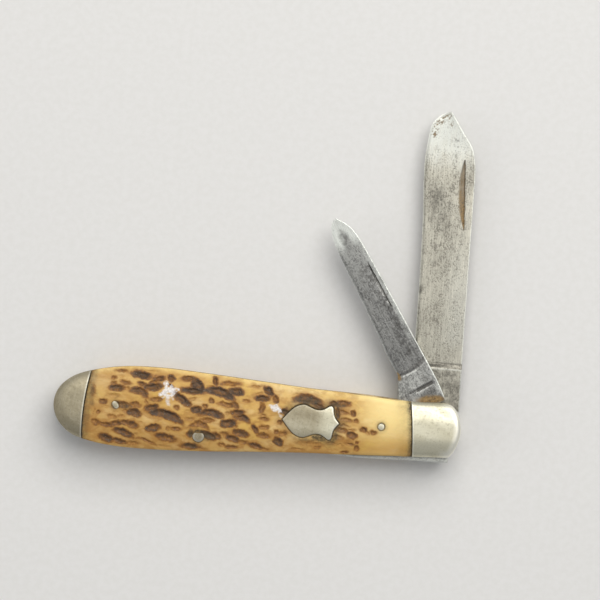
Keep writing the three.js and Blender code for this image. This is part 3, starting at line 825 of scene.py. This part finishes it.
def chalk_marks(x, y):
    """White filler left in the bone, ragged at its rim and grey in a pit of the larger mark."""
    marks = np.zeros_like(x)
    rag = 0.42 * fractal(x, y, 0.55, 90) + 0.16 * lattice(x, y, 0.24, 95)
    for (cx, cy), size, arms in CHALK:
        dx, dy = x - cx, y - cy
        whole = ease(0.36, -0.22, np.hypot(dx, dy) - size + rag)
        for angle, reach, breadth in arms:
            ex, ey = math.cos(math.radians(angle)), math.sin(math.radians(angle))
            along = np.clip(dx * ex + dy * ey, 0, reach)
            far = np.hypot(dx - ex * along, dy - ey * along)
            width = breadth * (1.15 - 0.75 * along / reach)
            whole = most(whole, ease(0.32, -0.2, far - width + rag))
        pale = 0.85 + 0.15 * lattice(x, y, 0.4, 93) - 0.35 * ease(-0.6, -2.0, dy - 0.4 * dx)
        marks = most(marks, whole * np.clip(pale, 0, 1))
    pit = ease(1.3, 0.5, away(x, y, -55.45, 3.4, 0.42, 0.24) + rag)
    return marks * (1 - 0.8 * pit)


def shave(x, y):
    """How far down the bone's edges are worn in front of the shield, more on the blade side."""
    return np.where(y > 0, 0.22, -0.13) * ease(-20, -15, x) * ease(-5, -8, x)


# Dirt worked into the bone: x, y, half length, half height, strength.
STAINS = [
    (-71.8, 2.2, 1.05, 2.9, 0.95), (-72.3, -2.4, 0.8, 2.6, 0.6), (-71.2, 6.0, 0.8, 0.8, 0.6),
    (-26.3, 3.9, 3.0, 0.9, 1.2), (-20.4, 3.7, 1.9, 0.6, 1.1), (-19.9, 1.8, 0.6, 1.9, 0.9),
    (-46.5, -4.9, 1.4, 0.9, 1.2), (-50.2, -4.6, 0.7, 0.9, 1.1), (-50.0, -7.1, 1.5, 0.5, 0.9),
    (-65.0, 0.1, 2.0, 0.7, 0.8), (-66.4, 3.9, 1.2, 0.5, 0.7), (-30.9, 1.5, 0.9, 0.6, 1.1),
    (-26.0, -3.9, 3.2, 0.45, 0.8), (-32.0, -4.8, 0.7, 0.5, 0.7), (-49.4, 4.3, 1.6, 0.5, 0.7),
    (-20.2, -2.6, 0.8, 1.4, 1.0), (-22.9, -3.7, 1.4, 0.5, 1.1), (-20.2, 1.2, 0.5, 1.6, 1.0),
    (-23.9, -3.0, 1.7, 1.0, 1.25),
]


def bone_stain(x, y, mark, cuts, seed):
    """The brown of the cuts and, on the mark side, of the washes between them."""
    _, stain = jig(x, y, cuts, seed)
    if mark:
        rag = 0.55 * fractal(x, y, 1.3, seed + 37)
        stain = most(stain, spots(x, y, WASHES, rag, 1.3, 0.1))
    return stain


def bone_grime(x, y, front, rear, ragged, seed):
    """The dirt beside the joints and the pins, and in the worked-in stains."""
    ends = (0.34 + 0.3 * ease(2, 5, np.abs(y))) * ease(4.5, 0.0, front) * ragged
    rag = 0.5 * fractal(x, y, 0.9, seed + 35)
    grime = most(
        0.95 * ease(0.34, 0.1, rear) + 0.9 * ease(2.4, 0.0, rear) * ragged,
        0.85 * ease(0.32, 0.1, front) + 0.6 * ease(1.4, 0.1, front) + ends,
        spots(x, y, STAINS, rag, 1.35, 0.3) * ragged,
    )
    for (px, py), r in BONE_PINS:
        far = np.hypot(x - px, y - py) - r
        grime = most(grime, 0.6 * ease(0.36, 0.05, far) + 0.4 * ease(1.1, 0.1, far) * ragged)
    return grime


def shield_halo(x, y, ragged):
    """The darkening round the shield, heaviest above it and at its ears."""
    around = edge_distance(np.c_[x, y], SHIELD)
    darker_side = 0.42 + 0.58 * most(ease(0.0, 1.6, y), ease(-24.5, -22, x))
    halo = most(0.8 * ease(0.85, 0.2, around), 0.8 * ease(2.4, 0.2, around) * ragged)
    return 0.55 * ease(0.34, 0.06, around) + halo * darker_side


def bone_cover(side):
    """One jigged bone scale, carved and stained."""
    mark = side == "mark"
    node = side + "_scale"
    cuts, seed = (MARK_CUTS, 40) if mark else (pile_cuts(), 70)

    def relief(x, y, d):
        depth, _ = jig(x, y, cuts, seed)
        drop = crown_drop(x, y) + rim_drop(d, 0.7, 0.3) + depth * ease(0.0, 0.5, d)
        drop = drop + 0.035 * (fractal(x, y, 3.0, seed + 1) + 1) * ease(0, 0.8, d)
        if mark:
            near = edge_distance(np.c_[x, y], SHIELD)
            within = inside(np.c_[x, y], SHIELD)
            drop = drop + np.where(within, 0.5, 0.3 * ease(0.3, 0.0, near))
        for (px, py), r in BONE_PINS:
            drop = drop + 0.14 * ease(r + 0.32, r + 0.04, np.hypot(x - px, y - py))
        return drop

    outline = scale_outline()
    outline[:, 1] -= shave(outline[:, 0], outline[:, 1])
    spacing, step = (0.135, 0.16) if mark else (0.15, 0.18)
    piece, x, y, outer = cover(side + "_bone", node, outline, relief, spacing, step,
                               (0.06, 0.14, 0.25, 0.38), 0.8)
    d = edge_distance(np.c_[x, y], respace(outline, 0.2))
    front, rear = joint_distance(x, y, FRONT_JOINT), joint_distance(x, y, REAR_JOINT)
    stain = bone_stain(x, y, mark, cuts, seed) * outer * ease(-0.1, 0.3, d)
    ragged = 0.72 + 0.28 * fractal(x, y, 0.9, seed + 31)
    grime = bone_grime(x, y, front, rear, ragged, seed)
    chalk = np.zeros_like(x)
    if mark:
        chalk = chalk_marks(x, y) * outer
        grime = most(grime, shield_halo(x, y, ragged)) * (1 - chalk)
    # Wear and painted highlight: the smooth bone in front of the shield is lighter on its upper half, and
    # the edges are lighter, more on the upper side.
    rubbed_and_lit = ease(-19, -9, x + 1.2 * fractal(x, y, 4, seed + 3)) * ease(-5, 2, y)
    rim = ease(1.3, 0.1, d) * ease(0.2, 1.2, np.minimum(front, rear))
    wear = np.clip(0.8 * rubbed_and_lit + (0.45 - 0.3 * (y < 0)) * rim, 0, 1) * (1 - stain)
    # Brown clouds over the jigged part, made heavier towards the bottom as painted shade.
    zone = ease(-12, -18, x) * (0.6 + 0.4 * ease(3, -3, y))
    shade = most(
        ease(0, -7.5, y) + 0.75 * ease(-61, -70, x),
        0.8 * ease(5.0, 3.0, np.abs(x + 31.5)) * ease(-1, -5, y),
        0.55 * ease(-18, -14, x) * ease(1.5, -1.0, y),
    )
    paint(piece, cut=stain, grime=grime, chalk=chalk, zone=zone, shade=shade, wear=wear)
    return dress(piece, BONE, "bone", "handle", node)


def bolster(side, end):
    """A bolster, crowned across and rounded along its free edge."""
    node = f"{side}_{end}_bolster"
    front = end == "front"
    joint, way = (FRONT_JOINT, 1) if front else (REAR_JOINT, -1)
    radius, depth = (1.1, 0.75) if front else (2.6, 1.35)

    def relief(x, y, d):
        free = edge_distance(np.c_[x, y], HANDLE)
        joined = joint_distance(x, y, joint)
        drop = crown_drop(x, y) + rim_drop(free, radius, depth) + rim_drop(joined, 0.16, 0.09)
        return drop + 0.012 * (fractal(x, y, 2.2, 50) + 1)

    outline = clip(HANDLE, joint, way, JOINT_SEAM)
    piece, x, y, outer = cover(node + "_cap", node, outline, relief, 0.16, 0.14,
                               (0.04, 0.09, 0.15, 0.24), 0.6)
    seam = joint_distance(x, y, joint)
    free = edge_distance(np.c_[x, y], HANDLE)
    # Polish and painted highlight: a light line along the joint and a lighter rounded nose at the front.
    polish = 0.5 * ease(0.35, 0.1, seam - JOINT_SEAM) + ease(1.9, 0.5, free) * ease(1, 4, x)
    paint(piece, grime=0.8 * ease(0.1, 0.05, seam) * ~outer, polish=polish * outer,
          tarnish=0.12 if front else 0.85)
    return dress(piece, NICKEL, "nickel_silver", "handle", node)


def badge():
    """The shield: a plain bevelled plate that follows the crown, a little proud of the bone."""
    low, high = layer("shield")

    def top(x, y, d):
        dents = 0.008 * (fractal(x, y, 1.8, 60) + 1)
        return high - crown_drop(x, y) - rim_drop(d, 0.22, 0.14) - dents

    piece = plate("badge", SHIELD, top, low, 0.22, 0.12, (0.04, 0.09, 0.16))
    x, y, _ = points_mm(piece).T
    d = edge_distance(np.c_[x, y], respace(SHIELD, 0.12))
    # Painted highlight on the bevel, strongest towards the front end, and painted shading over the tarnish:
    # darker towards the top and lighter towards the front end.
    paint(piece, grime=0, polish=0.8 * ease(0.34, 0.05, d) * (0.2 + 0.8 * ease(-23.5, -21, x)),
          tarnish=0.66 + 0.22 * ease(-1.5, 1.5, y) - 0.66 * ease(-25, -21.5, x))
    return dress(piece, NICKEL, "nickel_silver", "handle", "shield")


def liner(node):
    """A brass liner, as wide as the handle."""
    piece = sheet(node + "_sheet", HANDLE, *layer(node), 0.1, 0.06, 1.6, (0.05, 0.12, 0.4))
    return dress(piece, BRASS, "brass", "handle", node)


def pin(name, center, radius, low, high, node, squash=None, tarnish=0.5, dome=0.07):
    """A pin with a low domed head at each end that stands free."""
    lower = [(0, -1), (0.5, -0.8), (0.85, -0.3)]
    profile = [(k * radius, low + rise * dome) for k, rise in lower]
    profile += [(radius, low + 0.12), (radius, high - 0.12)]
    profile += [(k * radius, high - rise * dome) for k, rise in reversed(lower)]
    piece = lathe(name, center, profile, squash)
    x, y, _ = points_mm(piece).T
    far = np.hypot(x - center[0], y - center[1])
    # The lighter rim round each head is polish and painted highlight.
    paint(piece, grime=0.2 * (tarnish > 0.7), tarnish=tarnish,
          polish=0.5 * ease(0.6 * radius, 0.95 * radius, far))
    return dress(piece, NICKEL, "nickel_silver", "handle", node)


def peened(angle):
    """The radius of a head that the hammer has spread into an oval."""
    return 1 / np.sqrt((np.cos(angle + 0.9) / 1.28) ** 2 + (np.sin(angle + 0.9) / 0.82) ** 2)


def pin_box(node):
    """A CAD pin's center, radius and lowest z, in millimetres."""
    low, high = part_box(node)
    center = ((low.x + high.x) / 2 / MM, (low.y + high.y) / 2 / MM)
    return center, (high.x - low.x) / 2 / MM, low.z / MM


def pins():
    drop = float(crown_drop(*CENTER_PIN))
    pin("spring_pin", CENTER_PIN, 1.2, PILE_BOTTOM + drop - CENTER_PIN_SHIFT,
        MARK_TOP - drop - CENTER_PIN_SHIFT, "center_spring_pin", tarnish=1.0, dome=0.03)
    for name, node in (("pivot", "pivot_pin"), ("butt", "rear_spring_pin")):
        center, radius, _ = pin_box(node)
        pin(name + "_pin_core", center, radius, PILE_BOTTOM + SPUN_DEPTH, MARK_TOP - SPUN_DEPTH, node)
    mark_low = layer("mark_liner")[0] + PIN_BURIED
    pile_high = layer("pile_liner")[1] - PIN_BURIED
    scale_pins = (("front", FRONT_SCALE_PIN, None, 0.1), ("rear", REAR_SCALE_PIN, peened, 0.65))
    for end, center, shape, dull in scale_pins:
        pin(f"mark_{end}_pin_head", center, SCALE_PIN_RADIUS, mark_low, MARK_TOP - HEAD_SUNK,
            "mark_scale_pin_" + end, shape, dull)
        pin(f"pile_{end}_pin_head", center, SCALE_PIN_RADIUS, PILE_BOTTOM + HEAD_SUNK, pile_high,
            "pile_scale_pin_" + end, shape, dull)
    for end in ("front", "rear"):
        center, _, low = pin_box("shield_pin_" + end)
        pin(f"badge_{end}_pin_core", center, 0.43, low, MARK_TOP - BADGE_PIN_SUNK,
            "shield_pin_" + end)


# ---------- backsprings
SPRING_HINGE = (-22, -5.35)
SPRING_END_X = 4.0
SPRING_FACE = -3.13
PEN_LIFT = math.radians(1.8)
BEND_START, BEND_END = -27, -16


def spring_outline(proud):
    """A backspring, whose back follows the handle and stands proud of it near the pivot."""
    first = np.flatnonzero(HANDLE[:, 0] < -75)[0]
    last = np.flatnonzero((HANDLE[:, 0] < -4) & (HANDLE[:, 1] < 0))[-1]
    inner = spline([
        (-9, SPRING_FACE), (-15, -3.7), (-22, -4.05), (-34, -4.6), (-42, -4.4), (-46, -3.3),
        (-51, -3.3), (-55, -4.6), (-64, -4.6), (-70, -3.4), (-73, -0.4), (-74.4, 2.6), (-74.9, 5.3),
    ])
    back = HANDLE[first:last + 1].copy()
    back[:, 1] -= proud * ease(-24, -12, back[:, 0])
    return np.vstack([back, (SPRING_END_X, -5.72), (SPRING_END_X, SPRING_FACE), inner])


def backspring(name, node, lift, proud):
    low, high = layer(node + "_arm")
    piece = sheet(name, spring_outline(proud), low, high, 0.22, 0.14, 0.9, (0.06, 0.14, 0.3))
    p = points_mm(piece)
    angle = -lift * ease(BEND_START, BEND_END, p[:, 0])
    dx, dy = p[:, 0] - SPRING_HINGE[0], p[:, 1] - SPRING_HINGE[1]
    p[:, 0] = SPRING_HINGE[0] + dx * np.cos(angle) - dy * np.sin(angle)
    p[:, 1] = SPRING_HINGE[1] + dx * np.sin(angle) + dy * np.cos(angle)
    piece.data.vertices.foreach_set("co", (p * MM).astype(np.float32).ravel())
    # Polish and painted highlight: the back edge is lighter, so it shows as a bright strip below the bone.
    paint(piece, polish=0.85 * ease(-3, -5.5, p[:, 1]), rust=0, dark=0)
    dress(piece, SPRING_STEEL, "spring_steel", None, node + "_root", node + "_arm")
    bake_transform(piece)
    return piece


# ---------- blades
TANG_FLAT = 3.1
TANG_CORNER = 3.75
SPINE_STEP = 4.2
NICK_DEPTH = 0.36
STAMP_DEPTH = 0.09


def tang_outline(kick, closed_deg):
    """The tang from the spine step round the pivot to the kick, as (u, n)."""
    half = math.acos(TANG_FLAT / TANG_CORNER)
    facings = [math.pi / 2, math.pi, 1.5 * math.pi + math.radians(closed_deg - 180)]
    points = [(SPINE_STEP, TANG_FLAT)]
    for a, b in zip(facings, facings[1:]):
        for angle in np.linspace(a + half, b - half, 9):
            points.append((TANG_CORNER * math.cos(angle), TANG_CORNER * math.sin(angle)))
    closed = facings[2]
    points.append((kick, (TANG_FLAT - kick * math.cos(closed)) / math.sin(closed)))
    return points


def curve_n(curve, u):
    """The height n of an edge or spine curve at u."""
    order = np.argsort(curve[:, 0])
    return np.interp(u, curve[order, 0], curve[order, 1])


class Blade:
    """A ground blade, drawn along u, from the pivot to its tip, and n, from edge to spine.
    ricasso is (u, bow, n at the bow's middle) of the line where the grind starts, and nick is the
    nail pull's straight side, from u, n to u, n, and its width."""

    def __init__(self, node, name, rest_deg, edge, spine, tang, ricasso, nick, steel):
        self.node, self.name, self.rest_deg = node, name, rest_deg
        self.low, self.high = layer(node)
        self.half = (self.high - self.low) / 2
        self.edge, self.spine = spline(edge), spline(spine)
        self.ricasso, self.nick, self.steel = ricasso, nick, steel
        self.outline = np.vstack([self.edge, self.spine[::-1][1:], tang])
        self.tip = edge[-1][0]

    def nick_place(self, u, n):
        """(share along the nail pull, distance below its straight side, reach there)."""
        (u0, n0), (u1, n1), width = self.nick
        length = math.hypot(u1 - u0, n1 - n0)
        ex, ey = (u1 - u0) / length, (n1 - n0) / length
        along = ((u - u0) * ex + (n - n0) * ey) / length
        below = (u - u0) * ey - (n - n0) * ex
        reach = width * np.maximum(4 * along * (1 - along), 0) ** 0.85
        return along, below, np.maximum(reach, 1e-3)

    def nick_depth(self, u, n):
        along, below, reach = self.nick_place(u, n)
        wall = ease(-0.08, 0.1, below) * ((along > 0) & (along < 1))
        return wall * np.clip(1 - below / reach, 0, 1) ** 0.8

    def past_ricasso(self, u, n):
        """How far a point is past the ricasso line, towards the tip."""
        start, bow, middle = self.ricasso
        return u - start - bow * (n - middle) ** 2

    def stamp(self, u, n):
        """Where the tang is struck: 1 at the bottom of the mark. A plain tang has none."""
        return np.zeros_like(u)

    def half_thickness(self, u, n, d):
        """Half the blade's thickness at a point: flat at the tang and ground beyond it."""
        ground = ease(0.05, 1.05, self.past_ricasso(u, n))
        top, bottom = curve_n(self.spine, u), curve_n(self.edge, u)
        across = np.clip((top - n) / np.maximum(top - bottom, 0.4), 0, 1)
        taper = 1 - 0.4 * ease(0.3, 1, u / self.tip)
        wedge = (self.half * (0.92 - 0.74 * across) - 0.03) * taper
        half = self.half * (1 - ground) + wedge * ground
        cutting = ground * ease(0.6, 0.95, across) * ease(0.55, 0.0, d)
        half = half * (1 - 0.72 * cutting)
        return half - np.minimum(rim_drop(d, 0.2, 0.13), half * 0.5) * (1 - cutting)

    def make(self):
        def mark_face(u, y, d):
            struck = NICK_DEPTH * self.nick_depth(u, -y) + STAMP_DEPTH * self.stamp(u, -y)
            return self.half_thickness(u, -y, d) - struck

        def pile_face(u, y, d):
            return -self.half_thickness(u, -y, d)

        piece = plate(self.name, self.outline * (1, -1), mark_face, pile_face, 0.19, 0.14,
                      (0.05, 0.11, 0.19, 0.3))
        u, y, z = points_mm(piece).T
        d = edge_distance(np.c_[u, -y], respace(self.outline, 0.15))
        polish, rust, dark = self.weather(u, -y, d, z > 0)
        paint(piece, polish=polish, rust=rust, dark=dark * (0.25 + 0.75 * ease(0.0, 0.2, d)))
        middle = (self.low + self.high) / 2
        turn = Matrix.Rotation(math.radians(self.rest_deg), 4, "Z")
        piece.data.transform(Matrix.Translation((0, 0, middle * MM)) @ turn)
        return dress(piece, self.steel, "blade_steel", self.node, self.node)

    def nick_dirt_and_shadow(self, u, n, mark_face):
        """(brown, dark) of the nail pull: brown dirt, deepest along its straight side, and a dark line along
        that side that is a painted shadow.
        """
        along, below, reach = self.nick_place(u, n)
        within = ((along > 0) & (along < 1) & (below > -0.05)) * mark_face
        brown = within * ease(1.05, 0.6, below / reach) * (0.85 + 0.15 * lattice(u, n, 1.6, 115))
        # Painted shadow: a dark line along the nail pull's steep straight wall.
        dark = within * ease(0.34, 0.06, below) * (0.75 + 0.25 * lattice(u, n, 0.9, 116))
        return brown, dark


class MainBlade(Blade):
    def weather(self, u, n, d, mark_face):
        """(polish, rust, dark) of the spear blade, bright at its tip and specked with rust, with painted
        highlights along its edges and on the crest where the grind starts, and a painted shade band just
        past that crest.
        """
        past = self.past_ricasso(u, n)
        blotch = fractal(u, n, 1.6, 110)
        # Painted shade: a dark band just past the line where the grind starts.
        grind_shade = ease(-0.02, 0.14, past) * ease(1.5, 1.05, past)
        brown, deep = self.nick_dirt_and_shadow(u, n, mark_face)
        gold = ease(53, 46, u)
        arc = ease(0.8, 0.35, np.abs(d - 1.0)) * ease(61, 62, u) * ease(-0.2, -0.7, n)
        specks = arc * ease(-0.02, 0.24, fractal(u, n, 0.3, 131, 3))
        row = ease(0.8, 0.3, np.abs(n - 0.7)) * ease(52.5, 54, u) * ease(63, 61, u)
        cloud = ease(2.6, 0.6, away(u, n, 47.5, -2.5, 3.2, 1) + 0.5 * blotch)
        notch = ease(1.3, 0.5, away(u, n, 29.3, -4.5, 0.9, 0.7) + 0.3 * blotch)
        polish = most(
            # painted highlights along the edges, lighter on the spine side and near the tip
            ease(0.32, 0.08, d) * (0.35 + 0.5 * ease(0, 3, n) + 0.4 * ease(56, 60, u)),
            0.85 * ease(53, 62, u + 1.2 * blotch),
            0.2 * ease(-1, 4, n) * ease(48, 30, u) * ease(16, 20, u),
            # painted highlight on the crest where the grind starts
            0.35 * ease(0.24, 0.08, np.abs(past + 0.08)),
        )
        rust = most(brown * (0.55 + 0.45 * gold), 0.6 * specks)
        dark = most(
            0.62 * grind_shade,
            0.55 * cloud * (0.5 + 0.5 * lattice(u, n, 0.5, 112)),
            0.42 * ease(0.0, -0.6, past) * (0.7 + 0.6 * lattice(u, n, 0.7, 113)),
            0.75 * deep,
            0.65 * specks,
            0.38 * brown * (1 - gold),
            0.5 * notch,
            0.55 * row * ease(0.15, 0.4, fractal(u, n, 0.3, 151, 3)),
        )
        return polish * (1 - rust) * (1 - grind_shade), rust, dark


class PenBlade(Blade):
    def stamp(self, u, n):
        """A plain struck bar across the tang, heaviest beside the spine."""
        heavy = ease(0.42, 0.3, np.abs(u - 8.72)) * ease(1.0, 1.4, n) * ease(5.25, 5.0, n)
        light = 0.6 * ease(0.26, 0.1, np.abs(u - 8.8)) * ease(-0.6, -0.2, n) * ease(1.6, 1.2, n)
        return most(heavy, light)

    def weather(self, u, n, d, mark_face):
        """(polish, rust, dark) of the pen blade, mottled grey with brown patches on its tang, with painted
        highlights along its edges and spine, on the crest where the grind starts and beside the struck bar,
        and a painted shade band just past that crest.
        """
        past = self.past_ricasso(u, n)
        blotch = fractal(u, n, 1.5, 140)
        fine = lattice(u, n, 0.5, 141)
        bar = self.stamp(u, n) * mark_face
        brown, deep = self.nick_dirt_and_shadow(u, n, mark_face)
        tip = ease(40, 44, u) * ease(2.5, 1.2, d + 0.4 * blotch)
        # Painted highlights: a light line on the crest where the grind starts, and one beside the struck
        # bar.
        crest = ease(0.28, 0.06, np.abs(past + 0.06)) * ease(-0.9, 0.6, n) * ease(5, 3.4, n)
        beside = ease(0.2, 0.05, np.abs(u - 8.18)) * ease(0, 0.8, n) * ease(4.8, 4.2, n)
        polish = most(
            # painted highlights along the edges
            ease(0.36, 0.1, d) * (0.3 + 0.7 * ease(1, 4, n) + 0.4 * ease(43, 46, u)),
            tip,
            ease(45, 47, u + 0.6 * blotch),
            # painted highlight beside the spine
            0.43 * ease(0.8, 0.5, np.abs(n - 5.75)) * ease(13, 26, u),
            0.12 * ease(30, 42, u),
            0.5 * crest,
            0.3 * beside,
            0.5 * ease(1.6, 0.4, np.hypot(u - 7.2, (n - 5.6) * 1.3)),
            0.29 * ease(8.8, 9.6, u) * ease(13, 12, u) * (0.7 + 0.3 * fine),
        )
        patch = np.hypot((n - 3.1) / 3.0, (u - 5.7 + 0.45 * (n - 3.1)) / 1.1) + 0.25 * blotch
        corner = away(u, n, 13.2, -0.75, 1.0, 0.6) + 0.3 * blotch
        rust = 0.95 * most(ease(1.15, 0.55, patch) * mark_face, ease(1.15, 0.6, corner))
        # Painted shade: a dark band just past the line where the grind starts.
        grind_shade = ease(0.05, 0.25, past) * ease(1.4, 1.0, past) * (0.4 + 0.6 * ease(0.5, 3.5, n))
        shade = ease(8.1, 7.2, u) * ease(6.0, 7.0, u) * ease(0.5, 2, n) * ease(5.4, 4.6, n)
        clouds = ease(0.2, 2.0, n) * most(
            ease(-0.1, 0.4, fractal(u, n, 2.4, 142)) * ease(44, 34, u) * ease(14, 18, u),
            ease(1.6, 0.4, np.abs(n - 4.2) + 0.5 * blotch) * ease(40, 34, u),
            ease(1.5, 0.3, away(u, n, 43.8, 3.1, 2.6, 1) + 0.4 * blotch),
        )
        dark = most(
            0.75 * bar,
            0.75 * deep,
            0.3 * brown,
            0.45 * grind_shade,
            0.4 * shade,
            0.6 * ease(1.2, 0.6, patch) * ease(5.6, 4.6, u),
            0.5 * clouds * ease(-0.3, 0.6, fine + 0.5 * lattice(u, n, 0.33, 144)),
        )
        return polish * (1 - rust) * (1 - bar) * (1 - deep), rust, dark


def main_blade():
    edge = [
        (14.6, -4.7), (22, -4.8), (32, -4.88), (44, -5.15), (52, -5.6), (57, -5.66), (60.5, -5.34),
        (62.5, -5.1), (64.0, -4.78), (65.1, -4.12), (66.2, -2.95), (66.8, -1.85), (67.15, -0.85),
    ]
    spine = [
        (SPINE_STEP, 5.65), (12, 5.5), (22, 5.4), (38, 5.3), (50, 5.24), (53.5, 5.22),
        (56.3, 5.02), (58.3, 4.66), (60, 4.05), (61.9, 2.76), (63.6, 1.58), (65.2, 0.54),
        (67.15, -0.85),
    ]
    nick = ((42.5, 3.65), (57.3, 2.8), 1.42)
    steel = steel_material("main_blade_steel", 90, (0.53, 0.51, 0.435), (0.18, 0.17, 0.145), 0.4)
    tang = tang_outline(11.8, 173)
    MainBlade("main_blade", "spear_blade", 90, edge, spine, tang, (13.05, 0, 0), nick, steel).make()


def pen_blade():
    edge = [
        (13.5, -0.6), (18, -0.6), (22, -0.3), (26, -0.05), (30, 0.15), (34, 0.33), (38, 0.45), (42, 0.7),
        (45, 1.05), (46.8, 1.6), (47.8, 2.15), (48.4, 2.85), (48.7, 3.6),
    ]
    spine = [
        (SPINE_STEP, 5.7), (8, 6.1), (20, 6.2), (38, 6.17), (43, 6.0), (45, 5.68), (46.2, 5.25), (47.2, 4.7),
        (48, 4.15), (48.7, 3.6),
    ]
    nick = ((26.3, 5.2), (37.4, 5.2), 0.5)
    steel = steel_material("pen_blade_steel", 123, (0.355, 0.355, 0.34), (0.12, 0.12, 0.118), 0.8)
    tang = tang_outline(7.6, 175)
    PenBlade("pen_blade", "small_blade", 123, edge, spine, tang, (12.55, 0.045, 2), nick, steel).make()


# ---------- the stage
VIEW_CENTER = (-29.6, 25.1)
VIEW_WIDTH = 126
CAMERA_ROLL = 4.5
CAMERA_HEIGHT = 1.0
SENSOR = 36


def camera():
    data = bpy.data.cameras.new("camera")
    data.sensor_width = SENSOR
    data.lens = SENSOR * CAMERA_HEIGHT / (VIEW_WIDTH * MM)
    data.clip_end = 10
    obj = add_object("camera", data)
    top = MARK_TOP * MM * 0.7
    obj.location = (VIEW_CENTER[0] * MM, VIEW_CENTER[1] * MM, top + CAMERA_HEIGHT)
    obj.rotation_euler = (0, 0, math.radians(CAMERA_ROLL))
    bpy.context.scene.camera = obj


def area_light(name, place, aim, size, power, color):
    data = bpy.data.lights.new(name, "AREA")
    data.shape = "RECTANGLE"
    data.size, data.size_y = size
    data.energy = power
    data.color = color
    obj = add_object(name, data)
    obj.location = place
    obj.rotation_euler = (Vector(aim) - Vector(place)).to_track_quat("-Z", "Y").to_euler()


def stage():
    reach, gap = 1500, 0.02
    corners = [(-reach, -reach, 0), (reach, -reach, 0), (reach, reach, 0), (-reach, reach, 0)]
    floor = mesh_object("floor", corners, [np.array([[0, 1, 2, 3]])])
    floor.location.z = -gap * MM
    floor.data.materials.append(floor_material())
    world = bpy.data.worlds.new("world")
    bpy.context.scene.world = world
    world.use_nodes = True
    backdrop = world.node_tree.nodes["Background"]
    backdrop.inputs["Color"].default_value = (0.95, 0.97, 1.0, 1)
    backdrop.inputs["Strength"].default_value = 0.36
    aim = (-0.02, 0.01, 0)
    area_light("key", (0.14, 0.5, 0.78), aim, (0.85, 0.85), 7.8, (1, 0.975, 0.93))
    area_light("fill", (-0.75, -0.15, 0.5), aim, (0.6, 0.6), 0.9, (1, 0.98, 0.95))
    bpy.context.scene.view_settings.view_transform = "Standard"


camera()
stage()
for cover_side in ("mark", "pile"):
    bone_cover(cover_side)
    bolster(cover_side, "front")
    bolster(cover_side, "rear")
for sheet_node in ("mark_liner", "center_liner", "pile_liner"):
    liner(sheet_node)
badge()
pins()
backspring("main_backspring", "main_spring", 0, 0)
backspring("pen_backspring", "pen_spring", PEN_LIFT, 0.28)
main_blade()
pen_blade()
